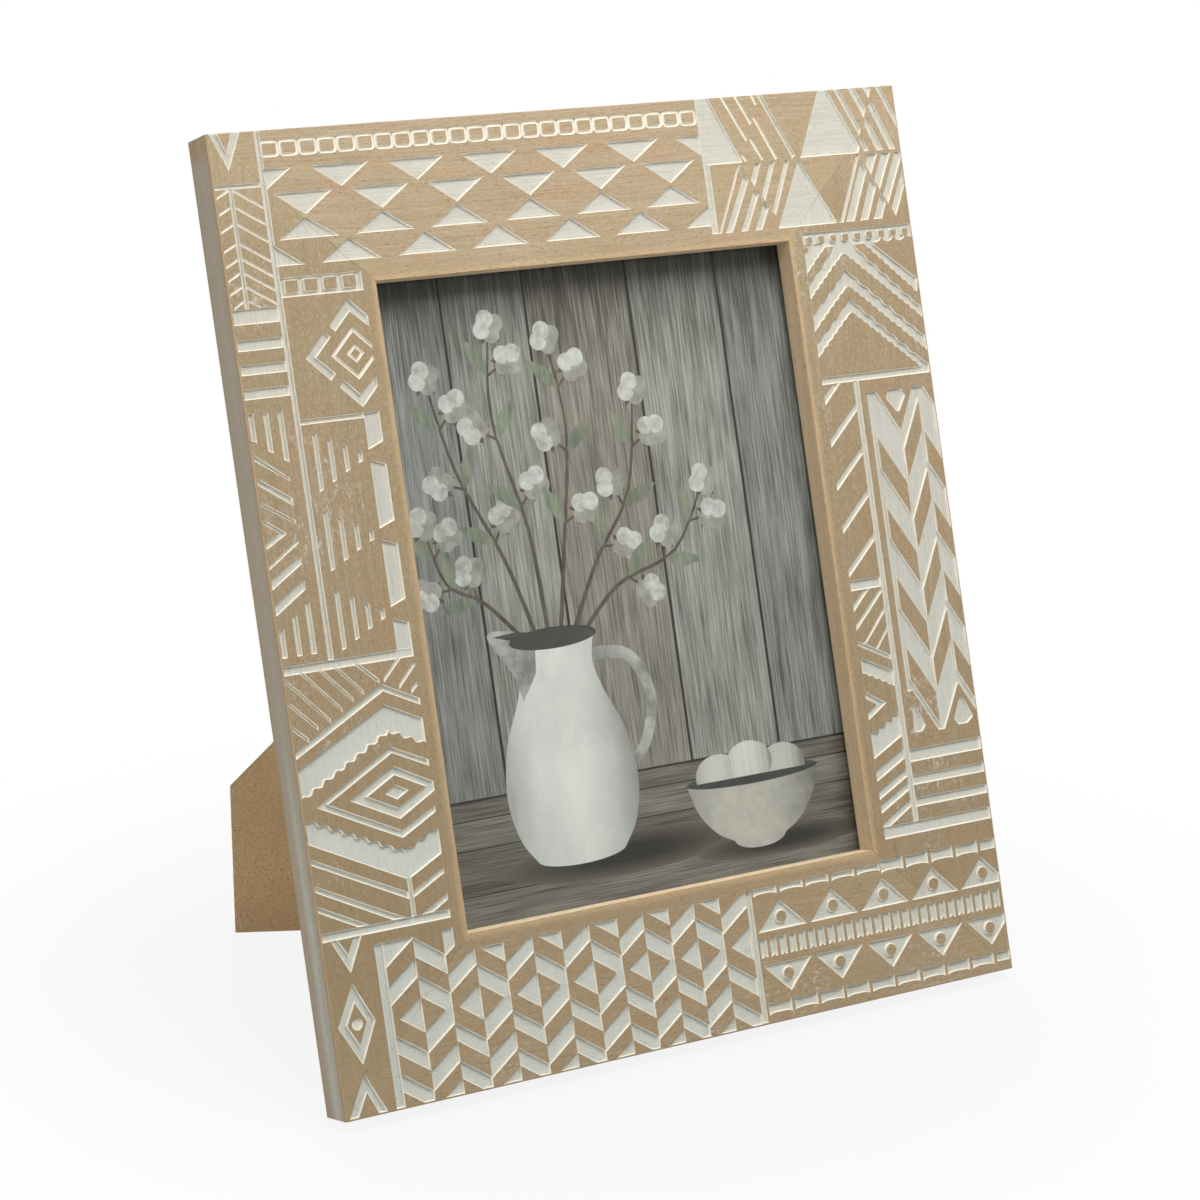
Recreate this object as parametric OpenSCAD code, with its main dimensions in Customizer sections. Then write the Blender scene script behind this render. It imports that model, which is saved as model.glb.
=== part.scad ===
// Wooden picture frame for a 15 by 20 cm photograph, standing on its diagonal easel strut.
// Millimetres. X runs to the right seen from the front, the face looks towards -Y, Z is up.
// The origin is on the standing surface, at the middle of the frame's footprint.
// Every piece of the frame is drawn upright in frame axes, with the back of the rails at
// y = 0 and the bottom edge at z = 0, and standing() then leans all of them back.

/* [Frame] */
// Width of the frame across its face
frame_w = 230; // [200:1:300]
// Height of the frame along its face
frame_h = 280; // [240:1:360]
// Width of each rail across its face
rail_w = 45.5; // [40:0.5:60]
// Thickness of the rails from front to back
rail_t = 14; // [12:0.5:20]
// Width of the rebate that holds the glass and the board
rebate_w = 5.5; // [4:0.5:8]
// Angle by which the frame leans back when it stands
lean = 17; // [12:0.5:20]

/* [Fillings] */
// Thickness of the glass pane
glass_t = 2; // [1.5:0.1:2.5]
// Thickness of the picture print
print_t = 0.3; // [0.2:0.1:0.5]
// Thickness of the spacer card behind the print
card_t = 1.2; // [0.8:0.1:1.6]
// Thickness of the fibreboard back
board_t = 3; // [2.5:0.1:3.5]
// Gap all round between the fillings and the rebate wall
edge_gap = 0.3; // [0.2:0.1:0.6]
// Depth of the board's face below the back of the rails
board_recess = 0.2; // [0.1:0.1:0.5]

/* [Strut] */
// Thickness of the easel strut
strut_t = 3; // [2.5:0.1:4]
// Width of the strut along its parallel part
strut_w = 72; // [60:1:84]
// Width of the strut where it meets its hinge
strut_head_w = 34; // [32:1:44]
// Length over which the strut widens from its hinge
strut_taper = 84; // [60:1:110]
// Angle between the strut and the upright edge of the frame when folded
strut_skew = 45; // [40:1:50]
// Angle between the open strut and the board
strut_open = 33.7; // [28:0.1:38]
// Distance from the board's right edge to the middle of the hinge
hinge_inset = 20.2; // [18:0.1:40]
// Height of the middle of the hinge above the frame's bottom edge
hinge_z = 181; // [160:1:200]

/* [Strut hinge] */
// Width of the hinge along its pin
hinge_w = 32; // [26:1:36]
// Width of the middle knuckle
knuckle_w = 14; // [10:1:16]
// Thickness of the hinge's sheet steel
leaf_t = 0.8; // [0.6:0.1:1]
// Length of the leaf on the board, from the pin
board_leaf_l = 10; // [9:0.5:12]
// Length of the leaf on the strut, from the pin
strut_leaf_l = 19; // [16:0.5:24]
// Size of the clipped corners of the leaf on the board
leaf_clip = 3; // [2:0.5:4]
// Diameter of the hinge pin
pin_d = 2; // [1.6:0.1:2.4]
// Length of the pin past each end of the hinge
pin_end = 0.5; // [0.3:0.1:1]
// Length of the stop tongue, from the pin
tongue_l = 6.5; // [5:0.5:8]
// Width of the stop tongue
tongue_w = 9; // [6:0.5:10]
// Shank diameter of the hinge rivets
rivet_d = 2.4; // [2:0.1:2.8]
// Head diameter of the hinge rivets
rivet_head_d = 4.6; // [4:0.1:5]
// Head height of the hinge rivets
rivet_head_h = 1; // [0.8:0.1:1.2]
// Distance between the two rivets of a leaf
rivet_pitch = 22; // [18:1:24]
// Height of the rivets' closed tails, sunk in the board
rivet_tail_h = 0.5; // [0.4:0.1:0.8]
// Distance of the board leaf's rivets from the pin
board_rivet_u = 6.2; // [5.6:0.1:6.6]
// Distance of the strut leaf's rivets from the pin
strut_rivet_u = 11.8; // [9:0.1:13]

/* [Turn buttons] */
// Reach of a turn button from its screw over the board
button_reach = 16.5; // [14:0.5:18]
// Length of a turn button behind its screw
button_tail = 5.5; // [5:0.5:7]
// Width of a turn button
button_w = 9; // [8:0.5:10]
// Thickness of a turn button
button_t = 1.2; // [0.8:0.1:1.6]
// Distance from the rebate to a turn button's screw
button_inset = 6; // [5.5:0.5:8]
// Shank diameter of the button screws
screw_d = 3; // [2.6:0.1:3.4]
// Length of the screw shank in the wood
screw_l = 9; // [7:0.5:9.5]
// Diameter of the screw heads
screw_head_d = 6; // [5.4:0.1:7]
// Height of the screw heads
screw_head_h = 1.8; // [1.4:0.1:2.4]
// Length of each slot of the cross recess
slot_l = 3.4; // [3:0.1:4]
// Width of each slot of the cross recess
slot_w = 1; // [0.8:0.1:1.2]
// Depth of the cross recess
slot_h = 1.1; // [0.8:0.1:1.2]

/* [Hangers] */
// Length of a sawtooth hanger
hanger_l = 45; // [38:1:50]
// Width of a sawtooth hanger
hanger_w = 8; // [7:0.5:10]
// Thickness of a hanger's sheet steel
hanger_t = 0.8; // [0.6:0.1:1]
// Height of the toothed middle above the wood
hanger_rise = 1.6; // [1.2:0.1:2]
// Length of each flat end of a hanger
hanger_end = 7; // [6.5:0.5:8]
// Distance from the frame's outer edge to the hanger's middle line
hanger_inset = 10; // [8:0.5:12]
// Spacing of the hanger's teeth
tooth_pitch = 3; // [2:0.25:4]
// Shank diameter of the hanger nails
nail_d = 1.4; // [1.2:0.1:1.6]
// Head diameter of the hanger nails
nail_head_d = 3.4; // [3:0.1:4]
// Head height of the hanger nails
nail_head_h = 0.6; // [0.4:0.1:0.8]
// Length of the hanger nails in the wood
nail_l = 8; // [6:0.5:9]

/* [Mitre fasteners] */
// Length of each leg of the V-shaped nails across the mitres
vnail_leg = 6; // [5:0.5:8]
// Thickness of the V-shaped nails
vnail_t = 0.8; // [0.6:0.1:1]
// Depth of the V-shaped nails in the wood
vnail_depth = 8; // [6:0.5:9]
// Angle between each leg of a V-shaped nail and the mitre
vnail_angle = 50; // [40:5:60]
// Distance of the outer V-shaped nail from the outer corner, along the mitre
vnail_outer = 16; // [12:1:22]
// Distance of the inner V-shaped nail from the outer corner, along the mitre
vnail_inner = 38; // [32:1:46]

/* [Running gaps] */
// Radial gap of a pivot in its hole
pivot_gap = 0.08; // [0.05:0.01:0.1]
// Radial gap of a fixed shank in its hole
shank_gap = 0.04; // [0.02:0.01:0.08]
// Gap between faces that slide past each other
slide_gap = 0.3; // [0.2:0.05:0.4]
// Gap left at the hinge's stop when the strut is open
stop_gap = 0.08; // [0.05:0.01:0.1]

/* [Hidden] */
$fn = 48;

// The four sides, named for the turn from the bottom side to each of them
BOTTOM = 0;
LEFT = 90;
TOP = 180;
RIGHT = 270;
SIDES = [BOTTOM, LEFT, TOP, RIGHT];

// Amount by which a cutting shape runs past the face that it opens
past = 1;

// Depth of the rebate and the faces of what lies in it, back from the front of the glass
rebate_depth = glass_t + print_t + card_t + board_t + board_recess;
filling_w = frame_w - 2 * (rail_w - rebate_w + edge_gap);
filling_h = frame_h - 2 * (rail_w - rebate_w + edge_gap);
board_back = -board_recess;
board_front = board_back - board_t;
card_front = board_front - card_t;
print_front = card_front - print_t;
glass_front = print_front - glass_t;

// Hinge barrel: its radius, its axis behind the rails and the two leaves about that axis
barrel_r = pin_d / 2 + pivot_gap + leaf_t;
axis_y = board_back + slide_gap + barrel_r;
hinge_x = filling_w / 2 - hinge_inset;
leaf_seat = barrel_r - leaf_t;
pin_l = hinge_w + 2 * pin_end;

// The strut lies on its leaf and begins just past the barrel
strut_start = barrel_r + slide_gap;
strut_in = -leaf_seat;
strut_out = strut_in + strut_t;

// Slopes of the open strut: how its length, width and thickness run up and backwards
along_up = -(cos(strut_open) * cos(strut_skew) * cos(lean) + sin(strut_open) * sin(lean));
across_up = sin(strut_skew) * cos(lean);
thick_up = sin(strut_open) * cos(strut_skew) * cos(lean) - cos(strut_open) * sin(lean);
along_back = sin(strut_open) * cos(lean) - cos(strut_open) * cos(strut_skew) * sin(lean);
thick_back = cos(strut_open) * cos(lean) + sin(strut_open) * cos(strut_skew) * sin(lean);

// The strut is as long as it takes for its inner edge to reach the standing surface
axis_up = hinge_z * cos(lean) - axis_y * sin(lean);
axis_back = hinge_z * sin(lean) + axis_y * cos(lean);
strut_l = -(axis_up + strut_in * thick_up) / along_up;
foot_angle = atan2(-along_up, across_up);

// Rearmost and foremost points of the standing frame, whose middle is the origin
rear_y = axis_back + strut_l * along_back + strut_out * thick_back;
front_y = -rail_t * cos(lean);
middle_y = (rear_y + front_y) / 2;

// Leans a piece drawn in frame axes back into its standing place.
module standing()
    translate([0, -middle_y, 0])
        rotate([-lean, 0, 0])
            children();

// Turns a piece drawn on the bottom side, centred on it, round to another side.
module at_side(side)
    translate([side == LEFT ? -frame_w / 2 : side == RIGHT ? frame_w / 2 : 0,
               0,
               side == BOTTOM ? 0 : side == TOP ? frame_h : frame_h / 2])
        rotate([0, side, 0])
            children();

// A flat shape drawn in x and z, from depth y0 back to depth y1.
module slab(y0, y1)
    translate([0, y1, 0])
        rotate([90, 0, 0])
            linear_extrude(y1 - y0)
                children();

// A round bar or hole along y, from depth y0 back to depth y1.
module bar(r, y0, y1)
    translate([0, y1, 0])
        rotate([90, 0, 0])
            cylinder(r = r, h = y1 - y0);

// Length of the rail on a side.
function side_length(side) = side == BOTTOM || side == TOP ? frame_w : frame_h;

// Height of a turn button's screw above the outer edge of its rail
button_z = rail_w - rebate_w - button_inset;

// Places of the two nails of a hanger
hanger_nail_x = [for (s = [-1, 1]) s * (hanger_l - hanger_end) / 2];

// The rail's rebated section runs its whole length, and the mitres cut both ends.
module rail_blank(length) {
    intersection() {
        translate([-length / 2, 0, 0])
            rotate([90, 0, 90])
                linear_extrude(length)
                    polygon([[0, 0], [0, rail_w - rebate_w],
                             [-rebate_depth, rail_w - rebate_w], [-rebate_depth, rail_w],
                             [-rail_t, rail_w], [-rail_t, 0]]);
        slab(-rail_t - past, past)
            polygon([[-length / 2, 0], [length / 2, 0],
                     [length / 2 - rail_w, rail_w], [-length / 2 + rail_w, rail_w]]);
    }
}

module rail(side) {
    difference() {
        at_side(side) rail_blank(side_length(side));
        vnails();
        at_side(side) {
            translate([0, 0, button_z]) bar(screw_d / 2 + shank_gap, -screw_l, past);
            if (side == TOP || side == RIGHT)
                for (x = hanger_nail_x)
                    translate([x, 0, hanger_inset]) bar(nail_d / 2 + shank_gap, -nail_l, past);
        }
    }
}

module top_rail() color("burlywood") standing() rail(TOP);
module bottom_rail() color("burlywood") standing() rail(BOTTOM);
module left_stile() color("tan") standing() rail(LEFT);
module right_stile() color("tan") standing() rail(RIGHT);

// One V-shaped nail, open towards the middle of the frame, its two legs in two rails.
module vnail() {
    run = vnail_leg * cos(vnail_angle);
    rise = vnail_leg * sin(vnail_angle);
    slab(-vnail_depth, 0)
        polygon([[0, 0], [run, rise], [run + vnail_t, rise], [vnail_t, 0],
                 [run + vnail_t, -rise], [run, -rise]]);
}

// The V-shaped nails at all four corners, along each mitre.
module vnails() {
    for (sx = [-1, 1], sz = [-1, 1])
        translate([sx * frame_w / 2, 0, (1 + sz) * frame_h / 2])
            rotate([0, sz * (90 + sx * 45), 0])
                for (d = [vnail_outer, vnail_inner]) translate([d, 0, 0]) vnail();
}

module corner_nails() color("silver") standing() vnails();

// A sheet that fills the rebate between two depths.
module filling(y0, y1)
    slab(y0, y1)
        translate([-filling_w / 2, (frame_h - filling_h) / 2])
            square([filling_w, filling_h]);

module glass_pane() color("lightcyan", 0.4) standing() filling(glass_front, print_front);
module picture_print() color("lightgray") standing() filling(print_front, card_front);
module spacer_card() color("darkgray") standing() filling(card_front, board_front);

// Puts a piece drawn on the folded strut's lines onto the hinge: x runs from the pin to the
// strut's tip, y along the pin and z backwards, all from the middle of the pin.
module at_hinge()
    translate([hinge_x, axis_y, hinge_z])
        rotate([0, 90 + strut_skew, 0])
            rotate([-90, 0, 0])
                children();

// The same for a piece that turns with the strut, at the open angle.
module at_open_strut()
    at_hinge()
        rotate([0, -strut_open, 0])
            children();

// Places of the two rivets of a leaf, at distance u from the pin.
module at_rivets(u)
    for (v = [-1, 1])
        translate([u, v * rivet_pitch / 2, 0])
            children();

module back_board() {
    color("peru") standing() difference() {
        filling(board_front, board_back);
        at_hinge() at_rivets(-board_rivet_u) translate([0, 0, board_front - axis_y]) {
            translate([0, 0, -past])
                cylinder(d = rivet_d + 2 * shank_gap, h = board_t + 2 * past);
            translate([0, 0, -past])
                cylinder(d = rivet_head_d + 2 * shank_gap, h = rivet_tail_h + past);
        }
    }
}

// One knuckle of the hinge, centred on the pin, from v0 to v1 along it.
module knuckle(v0, v1)
    translate([0, v0, 0])
        rotate([-90, 0, 0])
            cylinder(r = barrel_r, h = v1 - v0);

module pin_hole()
    rotate([90, 0, 0])
        cylinder(d = pin_d + 2 * pivot_gap, h = hinge_w + 2 * past, center = true);

// The board's leaf: a plate with clipped corners and the two outer knuckles.
module board_hinge_leaf() {
    seat = board_back - axis_y;
    color("silver") standing() at_hinge() difference() {
        union() {
            translate([0, 0, seat])
                linear_extrude(leaf_t)
                    polygon([[0, -hinge_w / 2], [0, hinge_w / 2],
                             [-board_leaf_l + leaf_clip, hinge_w / 2],
                             [-board_leaf_l, hinge_w / 2 - leaf_clip],
                             [-board_leaf_l, leaf_clip - hinge_w / 2],
                             [-board_leaf_l + leaf_clip, -hinge_w / 2]]);
            knuckle(knuckle_w / 2 + slide_gap, hinge_w / 2);
            knuckle(-hinge_w / 2, -knuckle_w / 2 - slide_gap);
        }
        pin_hole();
        translate([-barrel_r - slide_gap, -knuckle_w / 2 - slide_gap, seat - past])
            cube([2 * barrel_r + past, knuckle_w + 2 * slide_gap, 2 * barrel_r + past]);
        at_rivets(-board_rivet_u)
            translate([0, 0, seat - past])
                cylinder(d = rivet_d + 2 * shank_gap, h = leaf_t + 2 * past);
    }
}

// The strut's leaf: a plate with the middle knuckle, and the tongue that meets the
// board's leaf when the strut is open.
module strut_hinge_leaf() {
    tongue_seat = board_back + leaf_t + stop_gap - axis_y;
    color("silver") standing() {
        at_open_strut() difference() {
            union() {
                translate([strut_start, -hinge_w / 2, -barrel_r])
                    cube([strut_leaf_l - strut_start, hinge_w, leaf_t]);
                translate([0, -knuckle_w / 2, -barrel_r])
                    cube([strut_leaf_l, knuckle_w, leaf_t]);
                knuckle(-knuckle_w / 2, knuckle_w / 2);
                rotate([0, strut_open, 0])
                    translate([-tongue_l, -tongue_w / 2, tongue_seat])
                        cube([tongue_l, tongue_w, leaf_t]);
            }
            pin_hole();
            at_rivets(strut_rivet_u)
                translate([0, 0, -barrel_r - past])
                    cylinder(d = rivet_d + 2 * shank_gap, h = leaf_t + 2 * past);
        }
    }
}

module hinge_pin()
    color("gray") standing() at_hinge()
        rotate([90, 0, 0])
            cylinder(d = pin_d, h = pin_l, center = true);

// A rivet along z: its tail's face at z0, its domed head standing on z1.
module rivet(z0, z1, tail_h) {
    dome_r = (pow(rivet_head_d / 2, 2) + pow(rivet_head_h, 2)) / (2 * rivet_head_h);
    translate([0, 0, z0]) cylinder(d = rivet_d, h = z1 - z0);
    if (tail_h > 0) translate([0, 0, z0]) cylinder(d = rivet_head_d, h = tail_h);
    intersection() {
        translate([0, 0, z1 + rivet_head_h - dome_r]) sphere(r = dome_r);
        translate([0, 0, z1]) cylinder(d = rivet_head_d + past, h = rivet_head_h + past);
    }
}

module board_rivets()
    color("silver") standing() at_hinge()
        at_rivets(-board_rivet_u)
            rivet(board_front - axis_y, board_back + leaf_t - axis_y, rivet_tail_h);

module strut_rivets()
    color("silver") standing() at_open_strut()
        at_rivets(strut_rivet_u)
            rivet(-barrel_r, strut_out, 0);

// Outline of the strut: narrow at its hinge, then parallel, with a right-angled tip
// whose one side stands on the surface when the frame is upright.
module strut_outline()
    polygon([[strut_start, -strut_head_w / 2],
             [strut_start + strut_taper, -strut_w / 2],
             [strut_l - strut_w / 2 / tan(foot_angle), -strut_w / 2],
             [strut_l, 0],
             [strut_l - strut_w / 2 * tan(foot_angle), strut_w / 2],
             [strut_start + strut_taper, strut_w / 2],
             [strut_start, strut_head_w / 2]]);

module strut() {
    color("peru") standing() at_open_strut() difference() {
        translate([0, 0, strut_in])
            linear_extrude(strut_t)
                strut_outline();
        at_rivets(strut_rivet_u)
            translate([0, 0, strut_in - past])
                cylinder(d = rivet_d + 2 * shank_gap, h = strut_t + 2 * past);
    }
}

// A turn button with two round ends, pointing over the board.
module turn_button(side) {
    r = button_w / 2;
    button_in = slide_gap / 2;
    color("gold") standing() at_side(side) translate([0, 0, button_z]) difference() {
        union() {
            slab(button_in, button_in + button_t)
                translate([-r, r - button_tail])
                    square([button_w, button_reach + button_tail - button_w]);
            for (z = [r - button_tail, button_reach - r])
                translate([0, 0, z]) bar(r, button_in, button_in + button_t);
        }
        bar(screw_d / 2 + pivot_gap, -past, button_t + 2 * past);
    }
}

module turn_button_top() turn_button(TOP);
module turn_button_bottom() turn_button(BOTTOM);
module turn_button_left() turn_button(LEFT);
module turn_button_right() turn_button(RIGHT);

// A screw whose domed head with its cross recess keeps a turn button on the rail.
module button_screw() {
    seat = slide_gap + button_t;
    dome_r = (pow(screw_head_d / 2, 2) + pow(screw_head_h, 2)) / (2 * screw_head_h);
    difference() {
        union() {
            bar(screw_d / 2, -screw_l, seat + screw_head_h / 2);
            intersection() {
                translate([0, seat + screw_head_h - dome_r, 0]) sphere(r = dome_r);
                bar(screw_head_d / 2 + past, seat, seat + screw_head_h + past);
            }
        }
        for (turn = [0, 90])
            rotate([0, turn, 0])
                translate([-slot_l / 2, seat + screw_head_h - slot_h, -slot_w / 2])
                    cube([slot_l, slot_h + past, slot_w]);
    }
}

module button_screws()
    color("silver") standing()
        for (side = SIDES) at_side(side) translate([0, 0, button_z]) button_screw();

// A sawtooth hanger: flat nailed ends, a raised middle, and teeth towards the glass.
module hanger(side) {
    half = hanger_l / 2;
    flat = half - hanger_end;
    raised = flat - hanger_rise;
    tooth_h = tooth_pitch / 2;
    teeth = floor(2 * raised / tooth_pitch);
    color("silver") standing() at_side(side) translate([0, 0, hanger_inset]) difference() {
        translate([0, 0, -hanger_w / 2])
            linear_extrude(hanger_w)
                polygon([[-half, 0], [-flat, 0], [-raised, hanger_rise], [raised, hanger_rise],
                         [flat, 0], [half, 0], [half, hanger_t], [flat, hanger_t],
                         [raised, hanger_rise + hanger_t], [-raised, hanger_rise + hanger_t],
                         [-flat, hanger_t], [-half, hanger_t]]);
        for (i = [0 : teeth - 1])
            slab(-past, hanger_rise + hanger_t + past)
                translate([(i - (teeth - 1) / 2) * tooth_pitch, hanger_w / 2])
                    polygon([[-tooth_h, past], [-tooth_h, 0], [0, -tooth_h],
                             [tooth_h, 0], [tooth_h, past]]);
        for (x = hanger_nail_x)
            translate([x, 0, 0]) bar(nail_d / 2 + shank_gap, -past, hanger_t + past);
    }
}

module portrait_hanger() hanger(TOP);
module landscape_hanger() hanger(RIGHT);

module hanger_nail() {
    bar(nail_d / 2, -nail_l, hanger_t);
    bar(nail_head_d / 2, hanger_t, hanger_t + nail_head_h);
}

module hanger_nails()
    color("silver") standing()
        for (side = [TOP, RIGHT], x = hanger_nail_x)
            at_side(side) translate([x, 0, hanger_inset]) hanger_nail();

top_rail();
bottom_rail();
left_stile();
right_stile();
corner_nails();
glass_pane();
picture_print();
spacer_card();
back_board();
board_hinge_leaf();
strut_hinge_leaf();
hinge_pin();
board_rivets();
strut_rivets();
strut();
turn_button_top();
turn_button_bottom();
turn_button_left();
turn_button_right();
button_screws();
portrait_hanger();
landscape_hanger();
hanger_nails();
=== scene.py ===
"""Looks of a carved and limewashed wooden picture frame that stands on its easel strut.

Sizes are in millimetres in frame axes: x to the right from the frame's middle, y backwards from
the back of the rails, z up along the frame from its bottom edge. Carved outlines are drawn on
the face as (u, v): u to the right from the left edge, v up from the bottom edge.
"""

import logging
import math
from dataclasses import dataclass, field
from enum import Enum
from functools import reduce
from typing import NamedTuple

import bmesh
import bpy
from mathutils import Euler, Matrix, Vector
from mathutils.geometry import delaunay_2d_cdt


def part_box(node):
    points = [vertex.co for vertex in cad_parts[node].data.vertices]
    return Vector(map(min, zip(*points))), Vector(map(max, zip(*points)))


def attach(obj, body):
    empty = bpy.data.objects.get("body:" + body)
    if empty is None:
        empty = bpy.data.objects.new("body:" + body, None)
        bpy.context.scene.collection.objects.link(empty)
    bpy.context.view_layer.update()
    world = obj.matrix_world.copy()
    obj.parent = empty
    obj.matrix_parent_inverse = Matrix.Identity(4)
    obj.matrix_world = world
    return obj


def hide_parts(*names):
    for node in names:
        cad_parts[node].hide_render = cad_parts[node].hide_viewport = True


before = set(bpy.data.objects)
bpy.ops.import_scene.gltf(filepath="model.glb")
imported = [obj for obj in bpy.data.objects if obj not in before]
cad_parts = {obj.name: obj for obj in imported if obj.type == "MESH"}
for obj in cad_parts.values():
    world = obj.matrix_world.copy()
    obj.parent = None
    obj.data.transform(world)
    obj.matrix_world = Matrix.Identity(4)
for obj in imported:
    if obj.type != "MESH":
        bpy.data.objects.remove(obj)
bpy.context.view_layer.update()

LOG = logging.getLogger("picture_frame")
MM = 0.001
WHITE = (1.0, 1.0, 1.0, 1.0)

Point = tuple[float, float]
Outline = list[Point]
Colour = tuple[float, float, float, float]
Mesh = bpy.types.Mesh
Thing = bpy.types.Object
Material = bpy.types.Material
Tree = bpy.types.NodeTree
Node = bpy.types.Node
Socket = bpy.types.NodeSocket
Value = float | int | tuple | Socket


def tint(red: int, green: int, blue: int) -> Colour:
    """Turns a screen colour into the linear colour that Blender's sockets hold.

    Args:
        red, green, blue: screen levels from 0 to 255.

    Returns:
        The linear colour, opaque.
    """
    shares = (level / 255 for level in (red, green, blue))
    linear = (s / 12.92 if s <= 0.04045 else ((s + 0.055) / 1.055) ** 2.4 for s in shares)
    return (*linear, 1.0)


@dataclass(frozen=True)
class Stand:
    """How the frame stands, and the sizes that the looks are worked out from."""

    width: float
    height: float
    middle: float
    lean: float = 17.0
    thickness: float = 14.0
    rail: float = 45.5
    rebate: float = 5.5
    rebate_depth: float = 6.7

    @classmethod
    def from_frame(cls) -> "Stand":
        """Reads the standing frame from the boxes of its CAD rails.

        Returns:
            The stand with its width, its height, and the depth from y = 0 to its back's foot.
        """
        low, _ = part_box("bottom_rail")
        _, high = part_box("top_rail")
        turn = math.radians(cls.lean)
        return cls(width=-2 * low.x / MM,
                   height=(high.z / MM - cls.thickness * math.sin(turn)) / math.cos(turn),
                   middle=-low.y / MM - cls.thickness * math.cos(turn))

    def matrix(self) -> Matrix:
        """Matrix from frame axes in millimetres to the part's own axes in metres."""
        turn = Matrix.Rotation(-math.radians(self.lean), 4, "X")
        return Matrix.Scale(MM, 4) @ Matrix.Translation((0, -self.middle, 0)) @ turn

    def mapping(self, grain_up: bool) -> tuple[Vector, Euler]:
        """Place and turn of a Mapping node that brings Object coordinates to grain axes.

        Args:
            grain_up: whether the grain runs up the frame instead of across it.

        Returns:
            The Location and Rotation for a Mapping node whose Scale is 1 / MM. Its result
            has x along the grain, y backwards from the rails' back and z across the grain.
        """
        whole = (Matrix.Rotation(math.radians(90 if grain_up else 0), 4, "Y")
                 @ Matrix.Rotation(math.radians(self.lean), 4, "X"))
        return whole @ Vector((0, self.middle, 0)), whole.to_euler()


STAND = Stand.from_frame()


class Nodes:
    """A node tree with short calls that add nodes and join them."""

    def __init__(self, tree: Tree) -> None:
        """Takes the tree that the nodes are added to."""
        self.tree = tree

    def join(self, value: Value, socket: Socket) -> None:
        """Sets a socket to a constant, or links it to another node's output.

        Args:
            value: the constant or the output.
            socket: the input that takes it.
        """
        if isinstance(value, Socket):
            self.tree.links.new(value, socket)
        else:
            socket.default_value = value

    def add(self, kind: str, values: dict[str | int, Value] | None = None,
            **settings: object) -> Node:
        """Adds a node.

        Args:
            kind: Blender's name of the node type.
            values: constants or outputs for its inputs, by name or index.
            settings: the node's own properties.

        Returns:
            The new node.
        """
        node = self.tree.nodes.new(kind)
        for name, setting in settings.items():
            setattr(node, name, setting)
        for name, value in (values or {}).items():
            self.join(value, node.inputs[name])
        return node

    def maths(self, operation: str, *values: Value) -> Socket:
        """Result of a Math node."""
        return self.add("ShaderNodeMath", dict(enumerate(values)), operation=operation).outputs[0]

    def plus(self, first: Value, second: Value) -> Socket:
        """Sum of two values."""
        return self.maths("ADD", first, second)

    def minus(self, first: Value, second: Value) -> Socket:
        """Difference of two values."""
        return self.maths("SUBTRACT", first, second)

    def times(self, first: Value, second: Value) -> Socket:
        """Product of two values."""
        return self.maths("MULTIPLY", first, second)

    def off(self, value: Value, middle: float = 0.0) -> Socket:
        """How far a value is from a middle, on either side."""
        return self.maths("ABSOLUTE", self.minus(value, middle))

    def largest(self, *values: Value) -> Socket:
        """Largest of some values."""
        return reduce(lambda first, second: self.maths("MAXIMUM", first, second), values)

    def span(self, value: Value, low: float, high: float, bottom: float = 0.0, top: float = 1.0,
             smooth: bool = False) -> Socket:
        """Maps one range onto another and holds it at both ends.

        Args:
            value: what is mapped.
            low, high: the values that become bottom and top.
            bottom, top: the range of the result.
            smooth: whether it eases in and out.

        Returns:
            The mapped value.
        """
        kind = "SMOOTHSTEP" if smooth else "LINEAR"
        return self.add("ShaderNodeMapRange", {0: value, 1: low, 2: high, 3: bottom, 4: top},
                        interpolation_type=kind).outputs[0]

    def mix(self, share: Value, first: Value, second: Value, blend: str = "MIX") -> Socket:
        """Colour that goes from first to second as the share goes from 0 to 1."""
        return self.add("ShaderNodeMix", {0: share, 6: first, 7: second}, data_type="RGBA",
                        blend_type=blend).outputs[2]

    def noise(self, vector: Value, scale: float | tuple[float, float, float],
              detail: float = 2.0, roughness: float = 0.5) -> Socket:
        """Noise from 0 to 1.

        Args:
            vector: where it is taken.
            scale: one scale, or one for each axis.
            detail: how many finer layers it has.
            roughness: how strong they are.

        Returns:
            The noise.
        """
        if isinstance(scale, tuple):
            vector = self.add("ShaderNodeVectorMath", {0: vector, 1: scale},
                              operation="MULTIPLY").outputs[0]
            scale = 1.0
        return self.add("ShaderNodeTexNoise", {"Vector": vector, "Scale": scale, "Detail": detail,
                                               "Roughness": roughness}).outputs[0]

    def parts(self, vector: Value) -> tuple[Socket, ...]:
        """The three parts of a vector."""
        return tuple(self.add("ShaderNodeSeparateXYZ", {0: vector}).outputs)

    def group(self, tree: Tree, values: dict[str, Value]) -> tuple[Socket, ...]:
        """Outputs of a shared node group that is placed with its own values."""
        return tuple(self.add("ShaderNodeGroup", values, node_tree=tree).outputs)


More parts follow.
